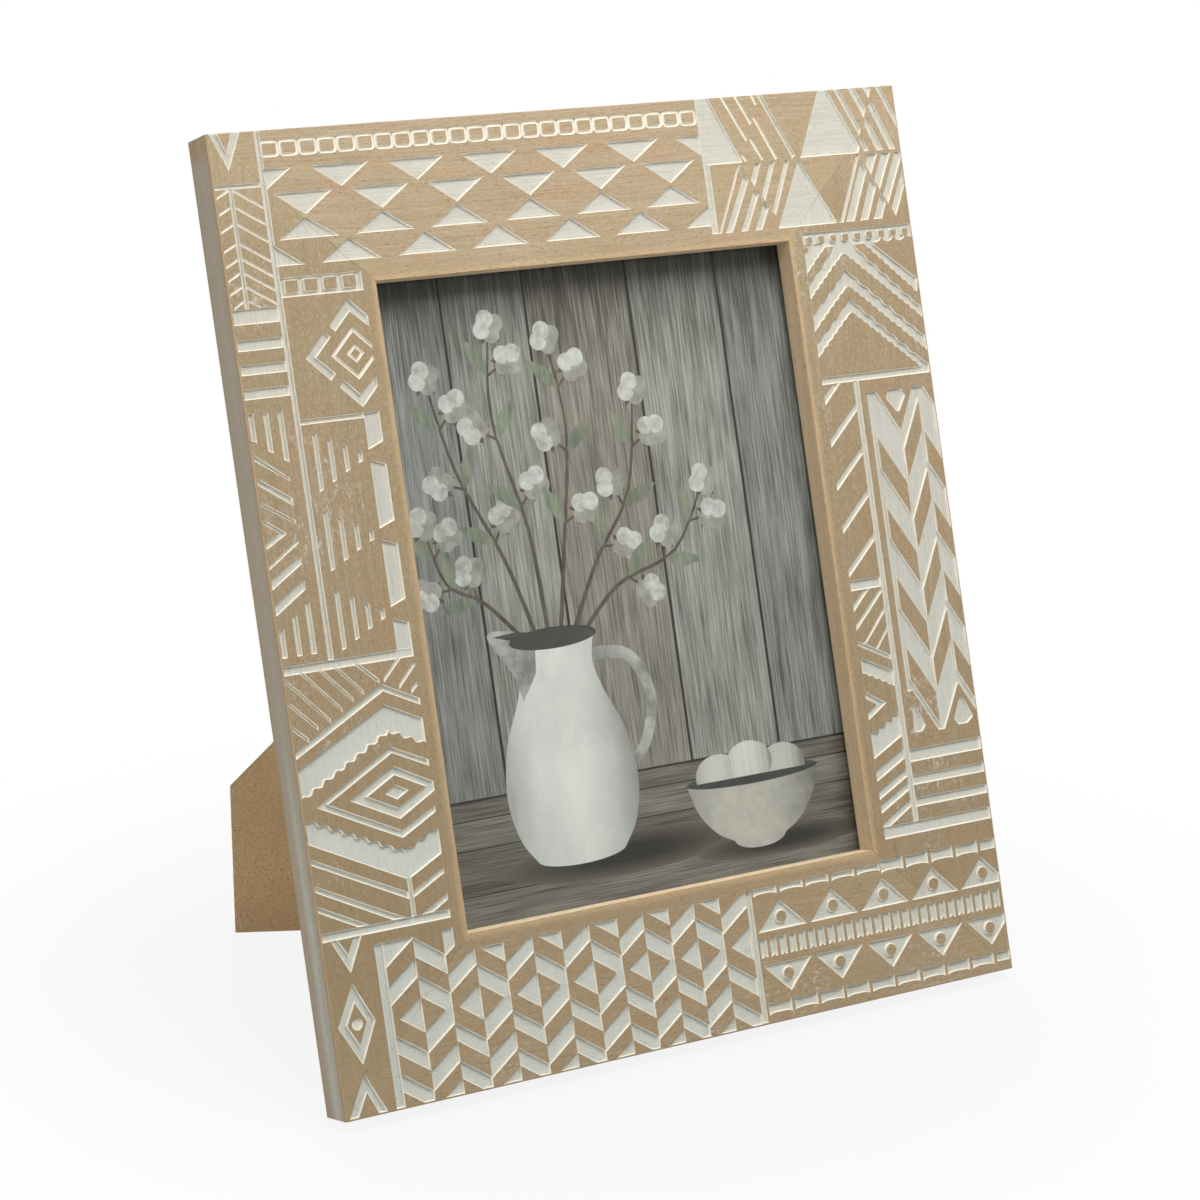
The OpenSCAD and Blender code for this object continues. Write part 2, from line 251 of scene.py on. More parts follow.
class Group(Nodes):
    """A node group with named inputs and outputs, while it is being built."""

    kind = "ShaderNodeTree"

    def __init__(self, name: str, inputs: dict[str, str]) -> None:
        """Starts the group.

        Args:
            name: its name.
            inputs: what each of its inputs holds, by name.
        """
        super().__init__(bpy.data.node_groups.new(name, self.kind))
        for socket, holds in inputs.items():
            self.tree.interface.new_socket(socket, in_out="INPUT",
                                           socket_type=f"NodeSocket{holds}")
        self.given = self.add("NodeGroupInput").outputs

    def close(self, outputs: dict[str, Socket], holds: str = "Float") -> Tree:
        """Ends the group.

        Args:
            outputs: what it puts out, by name.
            holds: what kind of value they all are.

        Returns:
            The group's tree.
        """
        for socket in outputs:
            self.tree.interface.new_socket(socket, in_out="OUTPUT",
                                           socket_type=f"NodeSocket{holds}")
        self.add("NodeGroupOutput", outputs)
        return self.tree


class SharedEffects:
    """Shader node groups that more than one finish uses, each built once."""

    def __init__(self) -> None:
        """Builds the groups."""
        self.grain = self._grain()
        self.mottle = self._mottle()
        self.rolled = self._rolled()

    @staticmethod
    def _grain() -> Tree:
        """Wood grain along x, in millimetres.

        Returns:
            A group that gives streaks, pores, broad patches and relief.
        """
        group = Group("wood_grain", {"Vector": "Vector", "Figure": "Float",
                                     "Pore share": "Float"})
        place, figure = group.given["Vector"], group.given["Figure"]
        along, deep, across = group.parts(place)
        drift = group.times(group.noise(place, (0.006, 0.02, 0.02), detail=1), 26.0)
        bent = group.add("ShaderNodeCombineXYZ",
                         {0: along, 1: deep, 2: group.plus(across, drift)}).outputs[0]
        rings = group.noise(bent, (0.004, 0.16, 0.32), detail=3, roughness=0.6)
        fibres = group.noise(bent, (0.05, 1.6, 2.6), detail=3, roughness=0.65)
        fibres = group.span(fibres, 0.28, 0.72)
        streak = group.plus(group.times(group.span(rings, 0.3, 0.7), figure),
                            group.times(fibres, group.minus(1.0, figure)))
        level = group.minus(0.84, group.times(group.given["Pore share"], 0.22))
        specks = group.noise(bent, (0.5, 3.2, 4.2), detail=1)
        pores = group.span(group.minus(specks, level), 0.0, 0.05)
        patch = group.span(group.noise(place, (0.022, 0.03, 0.05)), 0.32, 0.68)
        height = group.minus(fibres, group.times(pores, 0.8))
        return group.close({"Streak": streak, "Pores": pores, "Patch": patch, "Height": height})

    @staticmethod
    def _mottle() -> Tree:
        """Even speckle and cloud, for pressed fibre.

        Returns:
            A group that gives clouds, speckles and relief.
        """
        group = Group("fibre_mottle", {"Vector": "Vector", "Grain": "Float"})
        place = group.add("ShaderNodeVectorMath",
                          {0: group.given["Vector"], "Scale": group.given["Grain"]},
                          operation="SCALE").outputs[0]
        cloud = group.span(group.noise(place, 0.06, detail=4), 0.3, 0.7)
        fine = group.noise(place, 1.5, detail=3, roughness=0.7)
        return group.close({"Cloud": cloud, "Speckle": group.span(fine, 0.6, 0.72),
                            "Height": fine})

    @staticmethod
    def _rolled() -> Tree:
        """Rolled and handled sheet metal: fine lines along x, and dull patches.

        Returns:
            A group that gives shade, roughness and relief.
        """
        group = Group("rolled_metal", {"Vector": "Vector", "Wear": "Float"})
        place = group.given["Vector"]
        lines = group.noise(place, (0.2, 6.0, 6.0), detail=3)
        patch = group.span(group.noise(place, 0.35, detail=4), 0.35, 0.7)
        worn = group.times(patch, group.given["Wear"])
        rough = group.plus(group.times(lines, 0.12), group.plus(0.24, group.times(worn, 0.35)))
        return group.close({"Shade": worn, "Roughness": rough, "Height": lines})


EFFECTS = SharedEffects()


class Grain(NamedTuple):
    """What the wood grain group puts out."""

    streak: Socket
    pores: Socket
    patch: Socket
    height: Socket


class Coat(Nodes):
    """A material while it is being made, with its place in grain axes in millimetres."""

    def __init__(self, name: str, grain_up: bool = False) -> None:
        """Starts the material.

        Args:
            name: its name.
            grain_up: whether its grain runs up the frame instead of across it.
        """
        self.material = bpy.data.materials.new(name)
        self.material.use_nodes = True
        super().__init__(self.material.node_tree)
        self.tree.nodes.clear()
        self.shader = self.add("ShaderNodeBsdfPrincipled")
        output = self.add("ShaderNodeOutputMaterial", {"Surface": self.shader.outputs[0]})
        self.surface = output.inputs["Surface"]
        location, rotation = STAND.mapping(grain_up)
        self.where = self.add("ShaderNodeTexCoord").outputs["Object"]
        self.place = self.add("ShaderNodeMapping", {"Vector": self.where, "Location": location,
                                                    "Rotation": rotation,
                                                    "Scale": (1 / MM, 1 / MM, 1 / MM)}).outputs[0]
        self.along, self.back, self.across = self.parts(self.place)

    def grain(self, figure: float, pore_share: float) -> Grain:
        """Wood grain in the material's place."""
        return Grain(*self.group(EFFECTS.grain, {"Vector": self.place, "Figure": figure,
                                                 "Pore share": pore_share}))

    def give(self, values: dict[str, Value]) -> None:
        """Gives some of the shader's inputs their values."""
        for name, value in values.items():
            self.join(value, self.shader.inputs[name])

    def veil(self, share: Value, other: Node) -> None:
        """Lets another shader take the Principled one's place by a share."""
        self.join(self.add("ShaderNodeMixShader", {0: share, 1: self.shader.outputs[0],
                                                   2: other.outputs[0]}).outputs[0], self.surface)

    def finish(self, colour: Value, roughness: Value, specular: float = 0.5,
               height: Socket | None = None, depth: float = 0.0) -> Material:
        """Ends the material.

        Args:
            colour: its base colour.
            roughness: its roughness.
            specular: level of its specular reflection.
            height: its relief, or None where it is smooth.
            depth: depth of the relief in millimetres.

        Returns:
            The material.
        """
        self.give({"Base Color": colour, "Roughness": roughness, "Specular IOR Level": specular})
        if height is not None:
            raised = self.add("ShaderNodeBump", {"Height": height, "Distance": depth * MM,
                                                 "Strength": 1.0})
            self.give({"Normal": raised.outputs[0]})
        return self.material


@dataclass(frozen=True)
class WoodFinish:
    """A finish of a rail, whose grain runs along it."""

    grain_up: bool

    def coat(self, name: str) -> Coat:
        """Starts the material, which is also named for the way of its grain."""
        return Coat(f"{name}_{'up' if self.grain_up else 'across'}", self.grain_up)


@dataclass(frozen=True)
class CarvedFace(WoodFinish):
    """Sanded bare wood with limewash left in everything that is carved into it."""

    wood: Colour = tint(209, 190, 160)
    wood_dark: Colour = tint(172, 147, 110)
    wood_red: Colour = tint(198, 164, 130)
    wood_olive: Colour = tint(186, 166, 127)
    wood_low: Colour = tint(164, 140, 104)
    stile_shade: Colour = (0.84, 0.825, 0.795, 1.0)
    warm: Colour = tint(218, 186, 142)
    pore: Colour = tint(134, 106, 72)
    smudge: Colour = tint(228, 222, 207)
    cut_lip_and_shade: Colour = tint(138, 110, 76)
    wash: Colour = tint(223, 221, 209)
    wash_thin: Colour = tint(198, 192, 172)
    wash_low: Colour = tint(236, 243, 234)
    rim: Colour = tint(253, 247, 232)
    warm_band: float = 2.6
    paint_depth: float = 0.05
    rim_depth: float = 0.82

    def make(self) -> Material:
        """Builds the finish.

        Returns:
            The material.
        """
        coat = self.coat("carved_face")
        grain = coat.grain(figure=0.28, pore_share=1.0)
        low = self._low_down(coat)
        depth = coat.plus(coat.back, STAND.thickness)
        wood = self._wood(coat, grain, low)
        # thin darker band at the lip of every cut: partly the cut's unpainted edge, partly painted
        # shade along the upper edges
        wood = coat.mix(coat.span(depth, 0.012, 0.02, top=0.8), wood, self.cut_lip_and_shade)
        painted = coat.span(depth, self.paint_depth, self.paint_depth + 0.02)
        return coat.finish(coat.mix(painted, wood, self._wash(coat, grain, low, depth)),
                           coat.span(painted, 0, 1, 0.62, 0.78), 0.25, grain.height, 0.06)

    def _wood(self, coat: Coat, grain: Grain, low: Socket) -> Socket:
        """Colour of the sanded wood.

        Args:
            coat: the material.
            grain: its wood grain.
            low: mask of its lower part, where painted shade darkens the wood.

        Returns:
            The colour.
        """
        wood = coat.mix(grain.streak, self.wood, self.wood_dark)
        red = coat.noise(coat.place, (0.05, 0.1, 0.13))
        wood = coat.mix(coat.span(red, 0.48, 0.72, top=0.75), wood, self.wood_red)
        olive = 0.65 if self.grain_up else 0.45
        wood = coat.mix(coat.times(grain.patch, olive), wood, self.wood_olive)
        if self.grain_up:
            half = STAND.height / 2
            off_ends = coat.span(coat.off(coat.along, half), half - 4, half - STAND.rail,
                                 smooth=True)
            wood = coat.mix(off_ends, wood, self.stile_shade, "MULTIPLY")
        dust = coat.noise(coat.place, (1.1, 1.7, 1.7), roughness=0.6)
        wood = coat.mix(coat.span(dust, 0.5, 0.7, top=0.22), wood, self.smudge)
        # painted shade: the wood darkens towards the foot and the left of the frame
        wood = coat.mix(coat.times(low, 0.4), wood, self.wood_low)
        wood = coat.mix(self._near_sight(coat), wood, self.warm)
        wood = coat.mix(coat.times(grain.pores, 0.36), wood, self.pore)
        return coat.mix(self._smudges(coat), wood, self.smudge)

    def _wash(self, coat: Coat, grain: Grain, low: Socket, depth: Socket) -> Socket:
        """Colour of the limewash in the cuts, palest where a cut is shallow.

        Args:
            coat: the material.
            grain: its wood grain.
            low: mask of its lower part.
            depth: depth below the face in millimetres.

        Returns:
            The colour.
        """
        brush = coat.noise(coat.place, (0.03, 0.7, 1.3), detail=5, roughness=0.75)
        wash = coat.mix(coat.span(brush, 0.46, 0.74, top=0.6), self.wash, self.wash_thin)
        wash = coat.mix(coat.times(low, 0.5), wash, self.wash_low)
        wash = coat.mix(coat.times(grain.pores, 0.22), wash, self.wood_dark)
        # whiter rim colour on the walls and in shallow cuts: partly thicker limewash, partly
        # painted highlight for the light the walls catch
        return coat.mix(coat.span(depth, self.rim_depth, self.rim_depth - 0.06), wash, self.rim)

    def _near_sight(self, coat: Coat) -> Socket:
        """Mask of the band along the opening that is sanded down to warmer wood.

        Args:
            coat: the material.

        Returns:
            The mask.
        """
        half = (STAND.width if self.grain_up else STAND.height) / 2
        off = coat.off(coat.across, 0.0 if self.grain_up else half)
        wander = coat.times(coat.noise(coat.place, (0.08, 0.3, 0.3), detail=3), 1.6)
        reach = coat.plus(coat.minus(off, half - STAND.rail), wander)
        return coat.span(reach, 0.9, 0.8 + self.warm_band, bottom=0.8, top=0.0, smooth=True)

    def _low_down(self, coat: Coat) -> Socket:
        """Mask that grows towards the foot of the frame, most of all on its left.

        Grain axes have the frame's right along x on a level rail and against z on a stile. The mask
        lays painted shade on the wood low down, where less lamp light falls, and turns the wash
        there paler and greener.

        Args:
            coat: the material.

        Returns:
            The mask.
        """
        height = coat.along if self.grain_up else coat.across
        right = coat.times(coat.across, -1.0) if self.grain_up else coat.along
        return coat.times(coat.span(height, 205.0, 40.0, smooth=True),
                          coat.span(right, 20.0, 90.0, 1.0, 0.65))

    @staticmethod
    def _smudges(coat: Coat) -> Socket:
        """Mask of the few places where limewash was not sanded off the face.

        Args:
            coat: the material.

        Returns:
            The mask.
        """
        where = coat.span(coat.noise(coat.place, 0.035, detail=1), 0.57, 0.7)
        flecks = coat.noise(coat.place, (0.5, 0.9, 0.9), detail=4, roughness=0.7)
        return coat.times(where, coat.span(flecks, 0.54, 0.66, top=0.7))


@dataclass(frozen=True)
class WashedSide(WoodFinish):
    """Outer side of a rail, stained by thin limewash that stays pale in a streak low down."""

    wood: Colour = tint(164, 142, 112)
    wood_dark: Colour = tint(134, 113, 86)
    wash: Colour = tint(155, 145, 128)
    wash_pale: Colour = tint(174, 175, 162)
    edge: float = 1.3
    top_bare: float = 4.5
    streak_top: float = 118.0

    def make(self) -> Material:
        """Builds the finish.

        Returns:
            The material.
        """
        coat = self.coat("washed_side")
        grain = coat.grain(figure=0.5, pore_share=0.8)
        strokes = coat.noise(coat.place, (0.012, 0.5, 0.5), detail=4, roughness=0.7)
        pale = coat.times(coat.span(coat.off(coat.back, -0.6 * STAND.thickness), 4.2, 0.8),
                          coat.span(coat.off(coat.along), self.streak_top, self.streak_top - 50,
                                    bottom=0.12, smooth=True))
        wash = coat.mix(coat.times(pale, coat.span(strokes, 0.3, 0.55)), self.wash,
                        self.wash_pale)
        cover = self._cover(coat, strokes)
        colour = coat.mix(cover, coat.mix(grain.streak, self.wood, self.wood_dark), wash)
        return coat.finish(coat.mix(coat.times(grain.pores, 0.6), colour, self.wood_dark),
                           coat.span(cover, 0, 1, 0.62, 0.8), 0.3, grain.height, 0.07)

    def _cover(self, coat: Coat, strokes: Socket) -> Socket:
        """Mask of the limewash, which is worn off along both edges and at a stile's top.

        Args:
            coat: the material.
            strokes: noise of the brush strokes.

        Returns:
            The mask.
        """
        wobble = coat.times(coat.minus(strokes, 0.5), 3.0)
        moved = coat.plus(coat.back, wobble)
        front, rear = coat.plus(moved, STAND.thickness), coat.times(moved, -1.0)
        cover = coat.times(coat.span(front, self.edge - 0.3, self.edge + 0.3),
                           coat.span(rear, self.edge - 0.6, self.edge + 0.3))
        cover = coat.times(cover, coat.span(strokes, 0.25, 0.5, bottom=0.7))
        if not self.grain_up:
            return cover
        bare = STAND.height - self.top_bare
        return coat.times(cover, coat.span(coat.plus(coat.off(coat.along), wobble), bare,
                                           bare - 3, bottom=0.1))


@dataclass(frozen=True)
class BareWood(WoodFinish):
    """Planed wood with no finish: the rebate, the back, the mitres and the sight edge."""

    name: str = "bare_wood"
    wood: Colour = tint(208, 186, 152)
    wood_dark: Colour = tint(186, 160, 124)
    pore: Colour = tint(150, 122, 88)

    def make(self) -> Material:
        """Builds the finish.

        Returns:
            The material.
        """
        coat = self.coat(self.name)
        grain = coat.grain(figure=0.6, pore_share=0.8)
        wood = coat.mix(grain.streak, self.wood, self.wood_dark)
        wood = coat.mix(coat.times(grain.patch, 0.35), wood, self.wood_dark)
        return coat.finish(coat.mix(grain.pores, wood, self.pore),
                           coat.span(grain.streak, 0, 1, 0.6, 0.72), 0.3, grain.height, 0.06)


@dataclass(frozen=True)
class ClearGlass:
    """Picture glass: clear, with a faint green body and a soft shine."""

    body: Colour = (0.96, 0.98, 0.97, 1.0)
    shadow: Colour = (0.95, 0.97, 0.96, 1.0)
    ior: float = 1.2

    def make(self) -> Material:
        """Builds the finish.

        Returns:
            The material.
        """
        coat = Coat("picture_glass")
        film = coat.span(coat.noise(coat.place, 0.02, detail=4), 0.4, 0.7, 0.01, 0.05)
        coat.give({"Transmission Weight": 1.0, "IOR": self.ior})
        coat.veil(coat.add("ShaderNodeLightPath").outputs["Is Shadow Ray"],
                  coat.add("ShaderNodeBsdfTransparent", {"Color": self.shadow}))
        return coat.finish(self.body, film)


@dataclass(frozen=True)
class Fibreboard:
    """Pressed brown fibreboard with dark flecks and short fibres that lie three ways."""

    name: str
    light: Colour = tint(211, 183, 141)
    dark: Colour = tint(190, 160, 119)
    fleck: Colour = tint(104, 78, 48)
    hair: Colour = tint(222, 199, 162)
    grain: float = 0.75
    ways: tuple[float, ...] = (24.0, 97.0, 155.0)

    def make(self) -> Material:
        """Builds the finish.

        Returns:
            The material.
        """
        coat = Coat(self.name, grain_up=True)
        cloud, speckle, height = coat.group(EFFECTS.mottle, {"Vector": coat.place,
                                                             "Grain": self.grain})
        hairs = coat.largest(*(self._hairs(coat, way) for way in self.ways))
        colour = coat.mix(coat.times(cloud, 0.6), self.light, self.dark)
        colour = coat.mix(coat.span(hairs, 0.52, 0.6), self.dark, colour)
        colour = coat.mix(coat.span(hairs, 0.64, 0.74, top=0.6), colour, self.hair)
        colour = coat.mix(coat.times(speckle, 0.8), colour, self.fleck)
        return coat.finish(colour, coat.span(cloud, 0, 1, 0.6, 0.75), 0.25, height, 0.06)

    @staticmethod
    def _hairs(coat: Coat, way: float) -> Socket:
        """Noise of the short fibres that lie one way in the board's plane.

        Args:
            coat: the material.
            way: their angle in degrees.

        Returns:
            The noise.
        """
        laid = coat.add("ShaderNodeVectorRotate", {"Vector": coat.place, "Axis": (0.0, 1.0, 0.0),
                                                   "Angle": math.radians(way)})
        return coat.noise(laid.outputs[0], (0.4, 2.4, 2.4))


@dataclass(frozen=True)
class Steel:
    """Plated sheet steel with rolling lines and dull handled patches."""

    name: str
    plate: Colour = tint(196, 198, 200)
    dull: Colour = tint(150, 152, 154)
    wear: float = 0.7

    def make(self) -> Material:
        """Builds the finish.

        Returns:
            The material.
        """
        coat = Coat(self.name)
        shade, rough, height = coat.group(EFFECTS.rolled, {"Vector": coat.place,
                                                           "Wear": self.wear})
        coat.give({"Metallic": 1.0})
        return coat.finish(coat.mix(shade, self.plate, self.dull), rough, 0.5, height, 0.01)


@dataclass(frozen=True)
class PrintTone:
    """One printed tone of the picture: two colours in streaks along one direction.

    A rounded tone is darker towards both sides of a middle line, as a round jug is. A pooled
    tone goes from its dark colour at a spot to its light one away from it. A painted rail shadow
    darkens a tone towards the picture's top: painted shade where the top rail's shadow falls.
    """

    name: str
    light: Colour
    dark: Colour
    upright: bool = True
    streak: Point = (0.045, 1.9)
    round_about: tuple[float, float] | None = None
    pooled_at: tuple[float, float, float, float] | None = None
    shift: float = 0.0
    painted_rail_shadow: float = 0.0

    def make(self) -> Material:
        """Builds the finish.

        Returns:
            The material.
        """
        coat = Coat(f"print_{self.name}", self.upright)
        moved = coat.add("ShaderNodeVectorMath", {0: coat.place, 1: (self.shift, 0.0, self.shift)},
                         operation="ADD").outputs[0]
        along, across = self.streak
        lines = coat.noise(moved, (along, across, across), detail=5, roughness=0.7)
        broad = coat.noise(moved, (along, across * 0.12, across * 0.12))
        share = coat.span(coat.plus(coat.times(lines, 0.75), coat.times(broad, 0.25)), 0.38, 0.64)
        if self.round_about:
            share = self._rounded(coat, share)
        if self.pooled_at:
            share = self._pooled(coat)
        # painted shade of the top rail: the tone darkens towards the picture's top
        if self.painted_rail_shadow:
            _, up = self._face_place(coat)
            share = self._held(coat, coat.plus(share, coat.span(up, 196, 240, top=self.painted_rail_shadow,
                                                                smooth=True)))
        return coat.finish(coat.mix(share, self.light, self.dark),
                           coat.span(lines, 0, 1, 0.45, 0.55), 0.2)

    def _face_place(self, coat: Coat) -> tuple[Socket, Socket]:
        """Distance to the right of the frame's middle, and height up the frame."""
        return ((coat.times(coat.across, -1.0), coat.along) if self.upright
                else (coat.along, coat.across))

    @staticmethod
    def _held(coat: Coat, share: Socket) -> Socket:
        """The share held between 0 and 1."""
        return coat.add("ShaderNodeClamp", {0: share}).outputs[0]

    def _rounded(self, coat: Coat, share: Socket) -> Socket:
        """Adds to the dark share towards both sides of the middle line.

        Args:
            coat: the material.
            share: the dark share of the streaks.

        Returns:
            The dark share of the round thing.
        """
        centre, half = self.round_about
        right, _ = self._face_place(coat)
        off = coat.maths("DIVIDE", coat.off(right, centre - STAND.width / 2), half)
        side = coat.maths("POWER", off, 2.2)
        return self._held(coat, coat.plus(side, coat.times(share, 0.25)))

    def _pooled(self, coat: Coat) -> Socket:
        """Dark share that falls off around a flat oval spot.

        Args:
            coat: the material.

        Returns:
            The dark share.
        """
        u, v, wide, high = self.pooled_at
        right, up = self._face_place(coat)
        offs = (coat.maths("DIVIDE", coat.off(right, u - STAND.width / 2), wide),
                coat.maths("DIVIDE", coat.off(up, v), high))
        far = coat.plus(*(coat.times(off, off) for off in offs))
        return coat.span(far, 0.1, 1.0, 1.0, 0.0)


class Dress(Enum):
    """Which of a rail's finishes a face takes."""

    CARVED = 0
    SIDE = 1
    BARE = 2
    ARRIS = 3
    SIGHT = 4


class Layer(Enum):
    """Cuts that don't touch each other are made together, one layer after the other.

    The value is the depth of the layer's cuts below the face. The depths differ a little, as
    hand-guided cuts do.
    """

    FIELDS = 0.90
    BARS = 0.93
    STROKES = 0.87
    INSETS = 0.84
    HAIRLINES = 0.5
    LINKS = 0.54


FIELDS, BARS, STROKES, INSETS, HAIRLINES, LINKS = Layer


def rect(u0: float, v0: float, u1: float, v1: float) -> Outline:
    """Upright rectangle between two corners."""
    return [(u0, v0), (u1, v0), (u1, v1), (u0, v1)]


def band(u0: float, low0: float, high0: float, u1: float, low1: float, high1: float) -> Outline:
    """Slanted band with upright ends, from low0..high0 at u0 to low1..high1 at u1."""
    return [(u0, low0), (u1, low1), (u1, high1), (u0, high0)]


def left_side(line: Vector) -> Vector:
    """Unit vector to the left of a line."""
    return Vector((-line.y, line.x)).normalized()


def stroke(start: Point, end: Point, width: float) -> Outline:
    """Straight cut with square ends."""
    half = left_side(Vector(end) - Vector(start)) * width / 2
    return [tuple(Vector(p) + way) for p, way in ((start, -half), (end, -half), (end, half),
                                                  (start, half))]


def oval(centre: Point, half_u: float, half_v: float, sides: int = 28) -> Outline:
    """Oval outline about a centre."""
    return [(centre[0] + half_u * math.cos(math.tau * i / sides),
             centre[1] + half_v * math.sin(math.tau * i / sides)) for i in range(sides)]


def circle(centre: Point, radius: float, sides: int = 20) -> Outline:
    """Round outline about a centre."""
    return oval(centre, radius, radius, sides)


def shifted(outline: Outline, du: float, dv: float = 0.0) -> Outline:
    """The outline moved along the face."""
    return [(u + du, v + dv) for u, v in outline]


def flipped(outline: Outline, axis: float) -> Outline:
    """The outline mirrored up and down about the height axis, still counter-clockwise."""
    return [(u, 2 * axis - v) for u, v in reversed(outline)]


def edges_of(outline: Outline) -> list[tuple[Point, Point]]:
    """Each point of an outline with the next one."""
    return list(zip(outline, outline[1:] + outline[:1]))


def area(outline: Outline) -> float:
    """Signed area of an outline, positive when it runs counter-clockwise."""
    return sum(a[0] * b[1] - b[0] * a[1] for a, b in edges_of(outline)) / 2


def counter_clockwise(outline: Outline) -> Outline:
    """The outline, turned round if it runs clockwise."""
    return outline if area(outline) > 0 else outline[::-1]


def left_of(outline: Outline, start: Point, end: Point) -> Outline:
    """The part of a convex outline that lies to the left of a line.

    Args:
        outline: convex outline.
        start, end: two points of the line.

    Returns:
        The part, empty if there is none.
    """
    along = Vector(end) - Vector(start)
    kept: Outline = []
    for a, b in edges_of(outline):
        off_a, off_b = (along.cross(Vector(p) - Vector(start)) for p in (a, b))
        if off_a >= 0:
            kept.append(a)
        if (off_a >= 0) != (off_b >= 0):
            share = off_a / (off_a - off_b)
            kept.append((a[0] + share * (b[0] - a[0]), a[1] + share * (b[1] - a[1])))
    return kept


def clipped(outline: Outline, u0: float, v0: float, u1: float, v1: float) -> Outline:
    """The part of a convex outline in an upright rectangle, empty if there is none."""
    return reduce(lambda left, edge: left_of(left, *edge), edges_of(rect(u0, v0, u1, v1)), outline)


def without_short_edges(outline: Outline, shortest: float) -> Outline:
    """The outline without the points that lie closer than a length to the one before."""
    return [corner for i, corner in enumerate(outline)
            if (Vector(corner) - Vector(outline[i - 1])).length > shortest]


def inset(outline: Outline, distance: float) -> Outline:
    """The outline moved inwards by a distance, or outwards if that is negative.

    Args:
        outline: simple outline, counter-clockwise.
        distance: how far each edge moves.

    Returns:
        As many points as before.
    """
    moved: Outline = []
    for i, corner in enumerate(outline):
        here, after = Vector(corner), Vector(outline[(i + 1) % len(outline)])
        side = left_side(here - Vector(outline[i - 1]))
        middle = side + left_side(after - here)
        middle = (side if middle.length < 1e-6 else middle).normalized()
        reach = distance / max(0.25, middle.dot(side))
        moved.append(tuple(here + middle * reach))
    return moved


def has_floor(outline: Outline, wall: float) -> bool:
    """Whether an outline is wide enough for a sloping wall all round its edge."""
    edges = zip(edges_of(outline), edges_of(inset(outline, wall)))
    return len(outline) > 2 and all((Vector(b) - Vector(a)).dot(Vector(d) - Vector(c)) > 0
                                    for (a, b), (c, d) in edges)


def rounded(outline: Outline, radius: float, parts: int = 3) -> Outline:
    """The outline with each corner turned into a short curve.

    Args:
        outline: the outline.
        radius: how far a curve reaches from its corner, at most.
        parts: how many straight parts a curve has.

    Returns:
        The rounded outline.
    """
    points: Outline = []
    for i, corner in enumerate(outline):
        here = Vector(corner)
        ways = [Vector(outline[k % len(outline)]) - here for k in (i - 1, i + 1)]
        reach = min(radius, *(way.length * 0.45 for way in ways))
        start, end = (here + way.normalized() * reach for way in ways)
        for t in (k / parts for k in range(parts + 1)):
            points.append(tuple(start * (1 - t) ** 2 + here * 2 * t * (1 - t) + end * t * t))
    return points


def waves(start: Point, end: Point, pitch: float, height: float) -> Outline:
    """Points along a wavy line, without its end point.

    Args:
        start, end: the line's end points.
        pitch: about how far apart the crests are.
        height: how far the crests stand out to the left of the line.

    Returns:
        The points, five to a wave.
    """
    line = Vector(end) - Vector(start)
    last = max(1, round(line.length / pitch)) * 5
    points: Outline = []
    for i in (0, *range(2, last - 1)):
        rise = height * (0.5 - 0.5 * math.cos(math.tau * i / 5)) * min(1, i / 5, (last - i) / 5)
        points.append(tuple(Vector(start) + line * i / last + left_side(line) * rise))
    return points


def steps(start: Point, end: Point, count: int) -> Outline:
    """Points along a stepped line with rounded treads, without its end point.

    Args:
        start, end: the line's end points.
        count: how many steps it has.

    Returns:
        The points, six to a step.
    """
    (u0, v0), (u1, v1) = start, end
    du, dv = (u1 - u0) / count, (v1 - v0) / count
    tread = ((0.0, 0.0), (0.1, 0.42), (0.25, 0.55), (0.6, 0.45), (0.8, 0.5), (0.92, 0.72))
    return [(u0 + du * (i + s), v0 + dv * (i + r)) for i in range(count) for s, r in tread]


def placed(name: str, data: bpy.types.ID) -> Thing:
    """Makes an object and puts it in the scene.

    Args:
        name: its name.
        data: its mesh, lamp or camera.

    Returns:
        The object.
    """
    thing = bpy.data.objects.new(name, data)
    bpy.context.scene.collection.objects.link(thing)
    return thing


def as_mesh(shape: bmesh.types.BMesh, name: str) -> Mesh:
    """Turns an edited shape into a mesh, and frees it.

    Args:
        shape: the shape, which is used up.
        name: the mesh's name.

    Returns:
        The mesh.
    """
    mesh = bpy.data.meshes.new(name)
    shape.to_mesh(mesh)
    shape.free()
    return mesh


def plain_mesh(points: list[Vector], faces: list[list[int]]) -> Mesh:
    """Makes a mesh of triangles whose faces look outwards.

    Args:
        points: its points.
        faces: its faces, as lists of points by number.

    Returns:
        The mesh.
    """
    shape = bmesh.new()
    corners = [shape.verts.new(point) for point in points]
    for face in faces:
        shape.faces.new([corners[i] for i in face])
    bmesh.ops.recalc_face_normals(shape, faces=shape.faces)
    bmesh.ops.triangulate(shape, faces=shape.faces)
    return as_mesh(shape, "plain")


def joined_rings(rings: int, count: int) -> list[list[int]]:
    """Faces between neighbouring rings of as many points each, numbered one after the other."""
    return [[start + (i + 1) % count, start + i, start + count + i, start + count + (i + 1) % count]
            for start in range(0, (rings - 1) * count, count) for i in range(count)]


def loft(rings: list[list[Vector]]) -> Mesh:
    """Closed solid through outlines of as many points each, from one end to the other."""
    count, last = len(rings[0]), len(rings[0]) * (len(rings) - 1)
    return plain_mesh(sum(rings, []), [list(range(count)), list(range(last, last + count))[::-1],
                                       *joined_rings(len(rings), count)])


